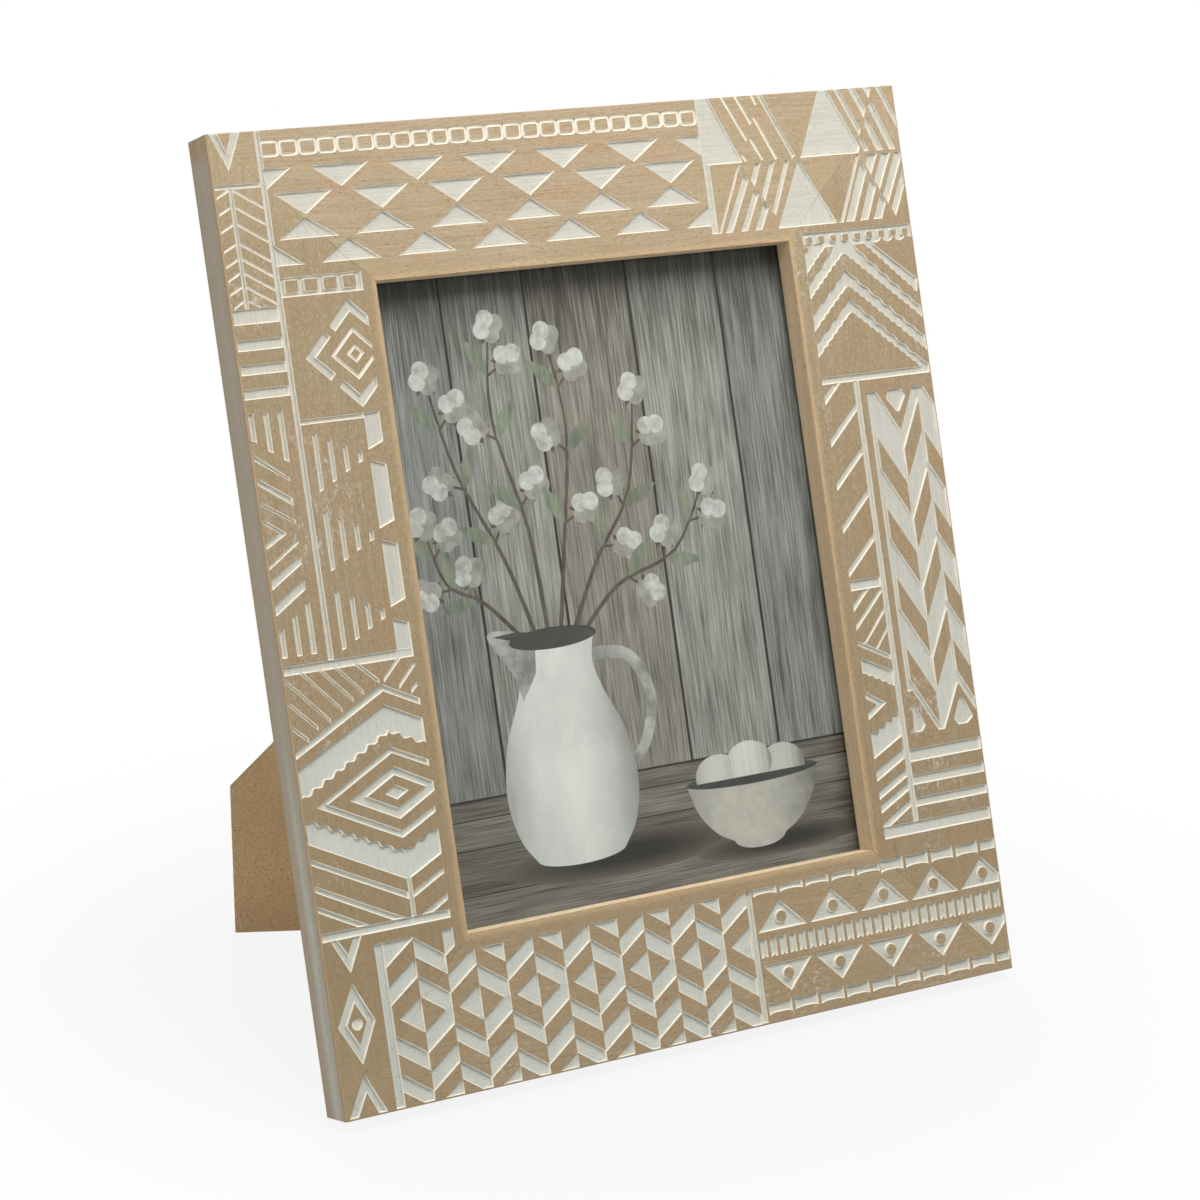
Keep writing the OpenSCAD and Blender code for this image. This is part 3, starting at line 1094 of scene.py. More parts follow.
def evaluated(mesh: Mesh, kind: str, **settings: object) -> Mesh:
    """Result of one modifier on a mesh.

    Args:
        mesh: the mesh to start from, which is used up.
        kind: Blender's name of the modifier type.
        settings: the modifier's properties, or a node group's inputs by identifier.

    Returns:
        The new mesh.
    """
    holder = placed("workpiece", mesh)
    modifier = holder.modifiers.new("work", kind)
    for name, value in settings.items():
        if hasattr(modifier, name):
            setattr(modifier, name, value)
        else:
            modifier[name] = value
    graph = bpy.context.evaluated_depsgraph_get()
    result = bpy.data.meshes.new_from_object(holder.evaluated_get(graph))
    bpy.data.objects.remove(holder)
    bpy.data.meshes.remove(mesh)
    return result


def cut_away(mesh: Mesh, cutter: Thing) -> Mesh:
    """What is left of a mesh when a cutter is taken away from it."""
    return evaluated(mesh, "BOOLEAN", operation="DIFFERENCE", solver="MANIFOLD", object=cutter)


class Copier(Group):
    """Geometry Nodes that set copies of a piece at points and give them their finish."""

    kind = "GeometryNodeTree"

    def end(self, values: dict[str, Value]) -> None:
        """Ends the tree, and notes which identifier each of its inputs has.

        Args:
            values: the points, the piece that is copied, and how it is turned there.
        """
        copies = self.add("GeometryNodeInstanceOnPoints", values)
        real = self.add("GeometryNodeRealizeInstances", {0: copies.outputs[0]})
        dressed = self.add("GeometryNodeSetMaterial", {"Geometry": real.outputs[0],
                                                       "Material": self.given["Finish"]})
        self.close({"Geometry": dressed.outputs[0]}, "Geometry")
        self.sockets = {item.name: item.identifier for item in self.tree.interface.items_tree
                        if item.in_out == "INPUT"}

    def run(self, mesh: Mesh, values: dict[str, object]) -> Mesh:
        """Result of the tree on a mesh, which is used up, with values for its inputs by name."""
        given = {self.sockets[name]: value for name, value in values.items()}
        return evaluated(mesh, "NODES", node_group=self.tree, **given)


class RowMaker(Copier):
    """Repeats one cut along a straight row, each copy a little off its place."""

    def __init__(self) -> None:
        """Builds the tree."""
        super().__init__("motif_row", {"Geometry": "Geometry", "Count": "Int", "Step": "Vector",
                                       "Wander": "Float", "Seed": "Int", "Finish": "Material"})
        line = self.add("GeometryNodeMeshLine", {"Count": self.given["Count"],
                                                 "Offset": self.given["Step"]}, mode="OFFSET")
        wander = self.add("FunctionNodeRandomValue",
                          {0: (-1.0, 0.0, -1.0), 1: (1.0, 0.0, 1.0), "Seed": self.given["Seed"]},
                          data_type="FLOAT_VECTOR").outputs[0]
        shift = self.add("ShaderNodeVectorMath", {0: wander, "Scale": self.given["Wander"]},
                         operation="SCALE").outputs[0]
        places = self.add("GeometryNodeSetPosition", {"Geometry": line.outputs[0],
                                                      "Offset": shift})
        self.end({"Points": places.outputs[0], "Instance": self.given["Geometry"]})


ROWS = RowMaker()


@dataclass
class Carving:
    """All that is cut into the face, as solids to take away and solids to leave standing."""

    wall: float = 0.45
    lip: float = 0.09
    clearance: float = 0.6
    under: float = 0.2
    wander: float = 0.03
    cuts: dict[Layer, list[Mesh]] = field(default_factory=lambda: {way: [] for way in Layer})
    islands: dict[Layer, list[Mesh]] = field(default_factory=lambda: {way: [] for way in Layer})

    def _solids(self, outline: Outline, rings: list[Point], count: int, step: Point) -> Mesh:
        """Closed solid between copies of an outline, repeated along the face.

        Args:
            outline: outline on the face.
            rings: for each copy, its depth below the face and how far it is inset.
            count: how many solids there are.
            step: from one to the next.

        Returns:
            The solids in frame axes.
        """
        outline = counter_clockwise(outline)
        solid = loft([[Vector((u - STAND.width / 2, depth - STAND.thickness, v))
                       for u, v in inset(outline, reach)] for depth, reach in rings])
        if count == 1:
            return solid
        return ROWS.run(solid, {"Count": count, "Step": Vector((step[0], 0, step[1])),
                                "Wander": self.wander, "Seed": count})

    def cut(self, layer: Layer, outline: Outline, count: int = 1, step: Point = (0.0, 0.0),
            wall: float | None = None) -> None:
        """Sinks an outline into the face.

        Args:
            layer: the layer of the cut.
            outline: its outline at the face.
            count: how many times it is repeated.
            step: from one copy to the next.
            wall: width of the sloping wall, seen from the front.
        """
        slope, depth = self.wall if wall is None else wall, layer.value
        rings = [(-self.clearance, 0.0), (0.0, 0.0), (self.lip, self.lip),
                 (depth * 0.75, slope * 0.68), (depth, slope)]
        self.cuts[layer].append(self._solids(outline, rings, count, step))

    def cut_all(self, layer: Layer, outlines: list[Outline], wall: float | None = None) -> None:
        """Sinks several outlines into the face with like walls."""
        for outline in outlines:
            self.cut(layer, outline, wall=wall)

    def leave(self, layer: Layer, outline: Outline, count: int = 1, step: Point = (0.0, 0.0),
              wall: float | None = None) -> None:
        """Leaves an outline standing at the height of the face inside a layer's cuts.

        Args:
            layer: the layer of the cuts around it.
            outline: its outline at the face.
            count: how many times it is repeated.
            step: from one copy to the next.
            wall: width of the sloping wall, seen from the front.
        """
        slope = (self.wall if wall is None else wall) / layer.value
        bottom = layer.value + self.under
        rings = [(-self.clearance - self.under, 0.0), (0.0, 0.0), (bottom, -slope * bottom)]
        self.islands[layer].append(self._solids(outline, rings, count, step))

    @staticmethod
    def _joined(meshes: list[Mesh]) -> Mesh:
        """The meshes as one.

        Args:
            meshes: the meshes.

        Returns:
            The new mesh.
        """
        shape = bmesh.new()
        for mesh in meshes:
            shape.from_mesh(mesh)
        return as_mesh(shape, "layer")

    def cutters(self) -> list[Thing]:
        """Joins the cuts of each layer and takes away what is left standing in them.

        Returns:
            One object for each layer, to be taken away from the rails.
        """
        made = []
        for layer in Layer:
            whole = self._joined(self.cuts[layer])
            if self.islands[layer]:
                standing = placed("islands", self._joined(self.islands[layer]))
                whole = cut_away(whole, standing)
                bpy.data.objects.remove(standing)
            made.append(placed(f"cutter_{layer.name.lower()}", whole))
        return made


TOP = STAND.height + 1
LEFT, SIGHT_LEFT, RIGHT = 0.5, 40.8, 229.6
Triple = tuple[float, float, float]
Stripes = tuple[tuple[float, float, float, float], ...]


@dataclass
class VeeAndFeather:
    """Top of the left-hand column: a vee, a feather and three bars, beside an upright line."""

    column: float = 14.3
    lines: Stripes = ((14.3, 129.3, 16.2, TOP), (4.4, 230.2, 5.9, 264.6))
    barbs: tuple[float, ...] = (264.3, 259.6, 254.7, 249.2, 244.9, 241.0, 237.1)
    bars: tuple[Point, ...] = ((225.9, 230.5), (218.5, 221.8), (211.7, 214.9), (204.9, 208.1))

    def carve(self, carving: Carving) -> None:
        """Makes the cuts.

        Args:
            carving: what the cuts are added to.
        """
        carving.cut(STROKES, [(0.4, TOP), (5.5, 269.0), (10.9, TOP), (7.9, TOP), (5.6, 274.9),
                              (3.2, TOP)])
        carving.cut(BARS, rect(*self.lines[0]))
        carving.cut(BARS, rect(*self.lines[1]), wall=0.4)
        end = self.column + 0.2
        carving.cut(FIELDS, rect(0.4, 264.0, end, 265.6), wall=0.4)
        for v in self.barbs:
            carving.cut_all(HAIRLINES, [band(5.5, v - 1.0, v + 0.2, 14.5, v - 6.8, v - 5.6),
                                        band(0.6, v - 3.0, v - 2.0, 4.7, v - 0.9, v + 0.2)], 0.26)
        carving.cut_all(HAIRLINES, [band(5.5, 232.2, 233.2, 9.4, 230.0, 230.9),
                                    band(1.2, 230.2, 231.2, 4.7, 232.2, 233.3)], 0.26)
        carving.cut_all(FIELDS, [rect(LEFT, low, end, high) for low, high in self.bars])


@dataclass
class TallyColumn:
    """Left-hand column below the bars: upright dashes above and below slanting ones."""

    dashes: tuple[Triple, ...] = ((0.7, 192.8, 140.2), (5.2, 189.4, 143.5), (9.6, 186.4, 146.8))
    width: float = 1.8
    slants: Stripes = (
        (187.8, 190.0, 180.8, 182.1), (181.0, 183.4, 173.8, 176.4), (175.2, 176.7, 168.6, 170.0),
        (156.8, 158.2, 163.5, 165.0), (151.1, 154.1, 157.5, 160.2), (143.7, 146.9, 150.2, 153.5))

    def carve(self, carving: Carving) -> None:
        """Makes the cuts.

        Args:
            carving: what the cuts are added to.
        """
        for left, foot, top in self.dashes:
            right = left + self.width
            carving.cut_all(STROKES, [band(left, foot + 0.7, 201.2, right, foot - 0.2, 201.2),
                                      band(left, 131.8, top - 0.5, right, 131.8, top + 0.4)])
        for low0, high0, low1, high1 in self.slants:
            carving.cut(STROKES, band(0.6, low0, high0, 10.7, low1, high1), wall=0.4)
        carving.cut(STROKES, [(0.6, 162.6), (7.3, 166.3), (7.3, 167.0), (0.6, 171.7), (0.6, 170.2),
                              (4.9, 166.9), (0.6, 164.6)], wall=0.4)


@dataclass
class ChainBorder:
    """Chain of raised squares in rounded links along the top rail."""

    first: float = 18.4
    pitch: float = 5.94
    count: int = 24
    middle: float = 274.7
    link: Point = (6.3, 5.1)
    square: Point = (4.15, 2.95)
    strip: tuple[float, float, float, float] = (16.0, 232.4, 41.3, 238.2)
    strip_square: Point = (3.8, 3.3)

    @staticmethod
    def _block(centre: Point, size: Point, radius: float) -> Outline:
        """Rectangle with rounded corners about a centre."""
        u, v, w, h = *centre, size[0] / 2, size[1] / 2
        return rounded(rect(u - w, v - h, u + w, v + h), radius)

    def carve(self, carving: Carving) -> None:
        """Makes the cuts.

        Args:
            carving: what the cuts are added to.
        """
        half, step = self.count // 2, (2 * self.pitch, 0.0)
        for start, layer in ((0, HAIRLINES), (1, LINKS)):
            centre = (self.first + self.pitch * start, self.middle)
            carving.cut(layer, self._block(centre, self.link, 1.7), half, step, wall=0.25)
            carving.leave(layer, self._block(centre, self.square, 0.5), half, step, wall=0.2)
        carving.cut(FIELDS, rect(*self.strip))
        centre = (self.strip[0] + 3.35, self.strip[1] + 3.1)
        carving.leave(FIELDS, self._block(centre, self.strip_square, 0.3), 4, (5.96, 0.0), 0.35)


@dataclass
class TriangleRows:
    """Four rows of sunk triangles between the chain and the sight edge."""

    pitch: float = 23.87
    half: float = 9.6
    odd: float = 15.2
    even: float = 26.85
    ends: Point = (15.6, 158.4)
    odd_rows: tuple[Point, ...] = ((269.2, 262.5), (241.3, 248.0))
    even_rows: tuple[Point, ...] = ((262.1, 255.3), (248.6, 254.9))

    def _triangle(self, centre: float, base: float, apex: float) -> Outline:
        """Triangle with a level base."""
        return counter_clockwise([(centre - self.half, base), (centre + self.half, base),
                                  (centre, apex)])

    def carve(self, carving: Carving) -> None:
        """Makes the cuts.

        Args:
            carving: what the cuts are added to.
        """
        for row in self.even_rows:
            carving.cut(FIELDS, self._triangle(self.even, *row), 6, (self.pitch, 0.0))
        for row in self.odd_rows:
            whole = self._triangle(self.odd, *row)
            carving.cut(FIELDS, shifted(whole, self.pitch), 5, (self.pitch, 0.0))
            carving.cut_all(FIELDS, [clipped(outline, self.ends[0], 0, self.ends[1], TOP)
                                     for outline in (whole, shifted(whole, 6 * self.pitch))])


@dataclass
class PyramidPanel:
    """Top right corner: light and dark triangles that meet in a point, between stripes.

    A stripe is given by where it starts and ends at its foot, and then at its top.
    """

    left: float = 158.0
    waist: float = 259.7
    foot: float = 238.8
    wall: float = 0.36
    fine_wall: float = 0.2
    fault_gap: float = 0.28
    fine: tuple[tuple[Point, Point, float], ...] = (
        ((172.0, 262.4), (173.4, 260.0), 1.1), ((167.2, TOP), (174.6, 266.3), 1.2),
        ((175.7, 267.0), (179.4, 260.0), 1.2), ((172.0, TOP), (176.9, 271.3), 1.2),
        ((178.0, 273.5), (184.2, 260.0), 1.2), ((178.0, TOP), (179.6, 277.0), 1.1))
    left_fault: tuple[Point, Point] = ((171.6, 257.3), (181.4, 242.2))
    left_above: Stripes = (
        (167.1, 169.3, 176.4, 178.6), (172.4, 174.4, 181.7, 183.7), (177.7, 179.6, 187.0, 188.9))
    left_below: Stripes = (
        (162.8, 165.4, 173.5, 176.1), (168.2, 170.7, 178.9, 181.4), (173.2, 175.9, 183.9, 186.6))
    right_fault: tuple[Point, Point] = ((214.0, 258.8), (223.2, 241.6))
    right_above: Stripes = (
        (207.4, 210.9, 217.7, 221.2), (212.3, 215.8, 222.6, 226.1), (217.3, 220.5, 227.6, 230.8),
        (222.0, 224.8, 232.0, 234.8))
    right_below: Stripes = (
        (206.1, 209.4, 215.4, 218.7), (211.3, 214.5, 220.6, 223.8), (216.4, 219.6, 225.7, 228.9))
    top_fault: tuple[Point, Point] = ((222.6, 280.3), (214.4, 262.1))
    top_above: Stripes = (
        (216.3, 218.2, 207.7, 209.6), (220.8, 223.6, 212.2, 215.0), (225.5, 228.1, 216.9, 219.5))
    top_below: Stripes = (
        (217.5, 219.7, 207.4, 209.6), (222.8, 225.6, 212.7, 215.5), (228.3, 231.1, 218.2, 221.0))

    def carve(self, carving: Carving) -> None:
        """Makes the cuts.

        Args:
            carving: what the cuts are added to.
        """
        waist, foot = self.waist, self.foot
        carving.cut(BARS, [(self.left, foot), (160.4, foot), (160.4, waist), (172.2, waist),
                           (171.8, 261.0), (162.6, TOP), (self.left, TOP)])
        carving.cut_all(FIELDS, [
            [(192.7, waist), (214.2, waist), (215.0, 261.8), (205.3, TOP), (202.6, TOP)],
            [(181.5, 238.7), (203.3, 238.7), (192.0, waist)]])
        carving.cut_all(LINKS, [stroke(*line) for line in self.fine], self.fine_wall)
        carving.cut_all(STROKES, [
            stroke((180.6, TOP), (190.6, 260.2), 1.8),
            *self._jogged(self.top_above, self.top_below, self.top_fault, waist + 0.4, TOP),
            clipped([(231.0, 263.0), (233.0, 263.0), (225.0, TOP), (222.9, TOP)],
                    200, 255, RIGHT, TOP),
            [(160.3, foot), (161.4, foot), (171.3, waist - 0.3), (170.2, waist - 0.3)],
            *self._jogged(self.left_above, self.left_below, self.left_fault, foot, waist - 0.3),
            *self._jogged(self.right_above, self.right_below, self.right_fault, foot,
                          waist - 0.3)], self.wall)
        carving.cut_all(HAIRLINES, [stroke(*self.left_fault, 0.45),
                                    stroke(*self.right_fault, 0.45)], 0.12)
        carving.cut(BARS, [(202.6, 238.7), (205.4, 238.7), (214.6, 259.5), (213.2, 259.5),
                           (204.2, 239.5), (202.6, 239.5)], wall=0.32)

    def _jogged(self, above: Stripes, below: Stripes, fault: tuple[Point, Point], foot: float,
                top: float) -> list[Outline]:
        """Stripes that step aside where a fault line crosses them.

        Args:
            above: the stripes on the right of the fault.
            below: the stripes on its left.
            fault: the fault line's upper and lower end.
            foot, top: heights of the stripes' ends.

        Returns:
            The outlines on both sides.
        """
        made = []
        for stripes, gap, line in ((above, self.fault_gap, fault),
                                   (below, -self.fault_gap, fault[::-1])):
            for foot0, foot1, top0, top1 in stripes:
                whole = clipped([(foot0, foot), (foot1, foot), (top1, top), (top0, top)],
                                self.left, foot, RIGHT, top)
                made.append(without_short_edges(left_of(whole, *shifted(line, gap)), self.wall))
        return [outline for outline in made if has_floor(outline, self.wall)]


@dataclass
class NestedDiamonds:
    """Diamond in a ring inside three broken angles, on the left stile."""

    centre: Point = (36.0, 214.8)
    cut_off: float = 41.5
    ring: float = 7.75
    ring_width: float = 1.7
    heart: float = 2.9

    def _angle(self, reach: float) -> Outline:
        """Diamond about the centre without its right-hand corner, from top to bottom."""
        (u, v), right = self.centre, self.cut_off
        rest = reach - (right - u)
        return [(right, v + rest), (u, v + reach), (u - reach, v), (u, v - reach),
                (right, v - rest)]

    def carve(self, carving: Carving) -> None:
        """Makes the cuts.

        Args:
            carving: what the cuts are added to.
        """
        right = self.cut_off
        carving.cut_all(FIELDS, [
            [(30.7, 221.4), (36, 226.7), (right, 221.7), (right, 225.2), (36, 230.7),
             (28.9, 223.3)],
            [(20.3, 214.8), (27.3, 207.7), (29.3, 209.7), (24.0, 214.8), (29.2, 220.1),
             (27.3, 222.0)],
            [(29.5, 205.7), (36, 199.2), (right, 204.8), (right, 208.4), (36, 203.1),
             (31.2, 207.9)]])
        ring = self._angle(self.ring) + self._angle(self.ring - self.ring_width)[::-1]
        carving.cut_all(LINKS, [ring, circle(self.centre, self.heart, 4)], 0.3)
        carving.leave(LINKS, circle(self.centre, self.heart - 1.45, 4), wall=0.2)


@dataclass
class DashWedges:
    """Three wedges of shortening dashes beside a strip of tall blocks, on the left stile."""

    lowest: float = 140.3
    pitch: float = 22.6
    dashes: tuple[Point, ...] = ((19.0, 8.5), (23.4, 6.2), (27.8, 3.8), (32.2, 1.7))
    width: float = 1.6
    blocks: Stripes = ((187.0, 197.9, 189.0, 197.9), (164.3, 184.6, 166.2, 182.6),
                       (141.6, 161.3, 143.6, 159.7), (129.0, 138.7, 129.0, 136.9))

    def carve(self, carving: Carving) -> None:
        """Makes the cuts.

        Args:
            carving: what the cuts are added to.
        """
        carving.cut(FIELDS, rect(16.0, 196.2, 35.9, 197.9), wall=0.4)
        for left, half in self.dashes:
            low, high = self.lowest - half, self.lowest + half
            dash = band(left, low - 0.3, high + 0.5, left + self.width, low + 0.4, high - 0.4)
            carving.cut(STROKES, dash, 3, (0.0, self.pitch), wall=0.42)
        for low0, high0, low1, high1 in self.blocks:
            carving.cut(STROKES, band(35.7, low0, high0, SIGHT_LEFT, low1, high1))
        carving.cut(FIELDS, rect(LEFT, 126.8, SIGHT_LEFT, 129.6))


@dataclass
class FernPanel:
    """Slanting ribs above an oblique band that rises to a low peak."""

    ribs: Stripes = (
        (0.5, 111.5, 5.3, 107.1), (0.5, 118.4, 8.6, 110.0), (0.5, 124.8, 12.7, 111.4),
        (5.0, 127.1, 16.7, 113.9), (10.7, 127.1, 20.5, 116.2), (15.6, 127.1, 23.9, 117.9),
        (22.0, 127.1, 29.2, 120.3), (30.3, 120.5, 37.0, 127.2), (34.8, 118.0, 40.8, 124.2),
        (38.3, 116.2, 40.8, 118.5))
    thick: float = 1.75

    def carve(self, carving: Carving) -> None:
        """Makes the cuts.

        Args:
            carving: what the cuts are added to.
        """
        for u0, v0, u1, v1 in self.ribs:
            carving.cut(STROKES, band(u0, v0, v0 + self.thick, u1, v1, v1 + self.thick),
                        wall=0.42)
        carving.cut(BARS, [(LEFT, 103.1), (29.7, 118.3), (SIGHT_LEFT, 112.7), (SIGHT_LEFT, 114.9),
                           (29.7, 120.6), (LEFT, 105.3)])


@dataclass
class ScallopEye:
    """Diamonds in diamonds between two light fields with stepped edges, on the left stile."""

    peak: float = 29.7

    def carve(self, carving: Carving) -> None:
        """Makes the cuts.

        Args:
            carving: what the cuts are added to.
        """
        left, right, peak = LEFT, SIGHT_LEFT, self.peak
        rise = steps((left, 91.4), (peak, 106.7), 8) + [(peak, 106.8)]
        fall = steps((right, 101.4), (peak, 106.7), 3)[::-1]
        below = steps((right, 77.8), (peak, 72.4), 3)
        rest = steps((left, 86.3), (peak, 72.4), 8)[::-1]
        carving.cut_all(FIELDS, [
            [(left, 100.0), *rise, *fall, (right, 109.1), (peak, 114.7)],
            [(left, 79.0), (28.7, 64.4), (30.2, 64.4), (right, 69.7), *below, (peak, 72.2),
             *rest]], 0.4)
        carving.cut(BARS, [(right, 97.1), (29.7, 102.6), (4.4, 88.9), (29.5, 76.0), (right, 81.8),
                           (right, 84.1), (29.5, 78.5), (8.4, 89.3), (29.7, 100.5), (right, 95.0)])
        carving.cut(FIELDS, [(14.7, 89.2), (29.5, 81.5), (41.4, 87.9), (41.4, 90.7), (29.7, 97.0)])
        carving.leave(FIELDS, [(20.6, 89.5), (29.5, 84.9), (38.5, 89.5), (29.5, 94.2)])
        carving.cut(INSETS, [(25.7, 89.4), (29.4, 87.1), (33.6, 89.4), (29.3, 91.7)])


@dataclass
class RibbedChevrons:
    """Ribs on both sides of a spine, closed below by a bar and a hanging vee."""

    spine: Point = (28.7, 30.3)
    floor: float = 53.5

    def carve(self, carving: Carving) -> None:
        """Makes the cuts.

        Args:
            carving: what the cuts are added to.
        """
        left, right, floor = LEFT, SIGHT_LEFT, self.floor
        carving.cut(BARS, rect(self.spine[0], floor - 0.3, self.spine[1], 65.0), wall=0.4)
        carving.cut(FIELDS, rect(left, 51.0, right, floor + 0.2))
        carving.cut_all(STROKES, [
            band(left, 73.1, 75.1, 28.9, 58.4, 60.7),
            [(left, 65.4), (22.9, floor), (27.4, floor), (left, 67.6)],
            [(left, 59.6), (11.9, floor), (16.0, floor), (left, 61.7)],
            band(30.1, 58.6, 60.7, right, 64.1, 66.1),
            [(31.5, floor), (35.6, floor), (right, 56.4), (right, 58.5)],
            [(2.8, 51.3), (7.8, 41.0), (12.9, 51.3), (10.1, 51.3), (7.75, 46.8), (5.2, 51.3)]])


@dataclass
class LozengeColumn:
    """Lozenge with a round eye above an upturned vee, at the lower left corner."""

    eye: float = 1.75

    def carve(self, carving: Carving) -> None:
        """Makes the cuts.

        Args:
            carving: what the cuts are added to.
        """
        carving.cut(FIELDS, [(1.5, 26.6), (7.6, 14.8), (13.3, 26.8), (7.8, 38.6)])
        carving.leave(FIELDS, [(4.5, 26.7), (7.6, 20.7), (10.5, 26.9), (7.6, 32.6)])
        carving.cut(HAIRLINES, circle((7.5, 26.6), self.eye), wall=0.25)
        carving.cut(STROKES, [(1.1, 0.5), (4.1, 0.5), (7.5, 6.9), (10.3, 0.5), (13.3, 0.5),
                              (7.5, 12.7)])


@dataclass
class Herringbone:
    """Columns of slanting light and dark bars along the bottom rail.

    In every other column the bars climb away from the middle line to the right, and in the
    others to the left. A bar's place is its distance from the middle line at the column's left.
    """

    edges: tuple[float, ...] = (18.65, 28.0, 37.4, 46.7, 56.0, 65.4, 74.8, 84.1, 93.5, 102.2,
                                110.9, 119.6, 128.4, 137.8)
    middle: float = 25.4
    slope: float = 0.717
    bottom: float = 0.45
    top: float = 41.0
    tall_top: float = 48.0
    overlap: float = 0.12
    point: float = 1.4
    climbing: tuple[Point, ...] = ((4.0, 9.6), (15.0, 20.6))
    falling: tuple[Point, ...] = ((16.6, 22.6), (27.2, 34.0))
    first_falling: Point = (5.1, 11.5)
    outer: float = 14.0
    tall_ends: tuple[tuple[int, float, float, float], ...] = (
        (0, 47.2, RIGHT, 48.0), (2, 47.0, SIGHT_LEFT, 48.3))

    def _bars(self, left: float, right: float, climbs: bool) -> list[Outline]:
        """Light bars of one column, before they are clipped.

        Args:
            left, right: the column's edges.
            climbs: whether the bars climb away from the middle line to the right.

        Returns:
            The outlines.
        """
        rise = self.slope * (right - left) * (1 if climbs else -1)
        middle, made = self.middle, []
        for near, far in (self.climbing if climbs else self.falling):
            upper = band(left, middle + near, middle + far, right, middle + near + rise,
                         middle + far + rise)
            made += [upper, flipped(upper, middle)]
        if climbs:
            reach = rise - self.point
            made.append([(left + self.point / self.slope, middle), (right, middle - reach),
                         (right, middle + reach)])
        return made

    def _arrow(self, left: float, right: float) -> Outline:
        """The light bar of a falling column whose two arms meet at the middle line.

        Args:
            left, right: the column's edges.

        Returns:
            The outline.
        """
        (near, far), middle = self.first_falling, self.middle
        fall = self.slope * (right - left)
        return [(left, middle - far), (right, middle - far + fall), (right, middle + far - fall),
                (left, middle + far), (left, middle + near), (left + near / self.slope, middle),
                (left, middle - near)]

    def carve(self, carving: Carving) -> None:
        """Makes the cuts.

        Args:
            carving: what the cuts are added to.
        """
        for i, (left, right) in enumerate(zip(self.edges, self.edges[1:])):
            climbs = i % 2 == 0
            layer = FIELDS if climbs else STROKES
            u0, u1 = left - self.overlap, right + self.overlap
            top = self.tall_top if i < 2 else self.top
            for outline in self._bars(u0, u1, climbs):
                piece = clipped(outline, u0, self.bottom, u1, top)
                for column, high, end, ceiling in self.tall_ends:
                    if i == column and min(v for _, v in outline) > self.middle + self.outer:
                        piece = clipped([(u0, 40.3), (u1, high), (u1, 60), (u0, 60)],
                                        u0, 0, min(u1, end), ceiling)
                if piece and abs(area(piece)) > (4.0 if i == 1 else 0.15):
                    carving.cut(layer, piece, wall=0.36)
            if not climbs:
                carving.cut(layer, self._arrow(u0, u1), wall=0.36)
        carving.cut_all(BARS, [rect(15.8, self.bottom, self.edges[0] + 0.1, self.tall_top),
                               rect(self.edges[-1] - 0.1, 0.6, self.edges[-1] + 2.0, 40.7)])


@dataclass
class BambooAndTeeth:
    """Bamboo rods, dotted triangles and a band of teeth on the right of the bottom rail."""

    left: float = 140.4
    rod_pitch: float = 9.35
    rod_gap: float = 0.9
    flare: float = 0.7
    triangle_pitch: float = 18.6
    first_triangle: float = 149.2
    half_base: float = 8.9
    dot: float = 1.75
    tooth_pitch: float = 3.43
    tooth: float = 2.6

    def _rod(self, left: float, low: float, high: float, flare_top: bool = True) -> Outline:
        """Rod with flared ends.

        Args:
            left: its left end.
            low, high: its lower and upper side.
            flare_top: whether the upper side flares too.

        Returns:
            The outline.
        """
        length, top_flare = self.rod_pitch - self.rod_gap, self.flare * flare_top
        waist = ((0.0, 1.0), (0.12, 0.35), (0.3, 0.05), (0.7, 0.05), (0.88, 0.35), (1.0, 1.0))
        return ([(left + length * s, low - self.flare * f) for s, f in waist]
                + [(left + length * s, high + top_flare * f) for s, f in reversed(waist)])

    def _rods(self, carving: Carving, left: float, count: int, low: float, high: float) -> None:
        """A row of rods whose last one ends short of the frame's edge.

        Args:
            carving: what the cuts are added to.
            left: where the row starts.
            count: how many whole rods it has.
            low, high: lower and upper side of the rods.
        """
        carving.cut(BARS, self._rod(left, low, high), count, (self.rod_pitch, 0.0), wall=0.38)
        start = left + self.rod_pitch * count
        if start + 3 < RIGHT:
            carving.cut(BARS, rect(start, low - 0.1, RIGHT, high + 0.1), wall=0.38)

    def carve(self, carving: Carving) -> None:
        """Makes the cuts.

        Args:
            carving: what the cuts are added to.
        """
        self._rods(carving, self.left, 9, 3.15, 6.05)
        self._rods(carving, 186.5, 4, 38.6, 41.7)
        carving.cut(BARS, self._rod(self.left, 39.3, 41.2, flare_top=False), 5,
                    (self.rod_pitch, 0.0), wall=0.38)
        middle, half, step = self.first_triangle, self.half_base, (self.triangle_pitch, 0.0)
        for base, apex, eye in ((27.7, 36.9, 31.5), (17.9, 8.6, 14.1)):
            outline = counter_clockwise([(middle - half, base), (middle + half, base),
                                         (middle, apex)])
            carving.cut(FIELDS, outline, 4, step)
            carving.cut(FIELDS, clipped(shifted(outline, 4 * step[0]), 200, 0, RIGHT, 60))
            carving.leave(FIELDS, circle((middle, eye), self.dot), 5, step, wall=0.4)
        count, third = int((RIGHT - self.left) / self.tooth_pitch), self.tooth / 3
        tooth = [(0.0, 20.0), (third, 20.0), (1.5 * third, 20.7), (2 * third, 20.0),
                 (self.tooth, 20.0), (self.tooth, 25.8), (0.0, 25.8)]
        carving.cut(STROKES, shifted(tooth, self.left), count, (self.tooth_pitch, 0.0), wall=0.36)


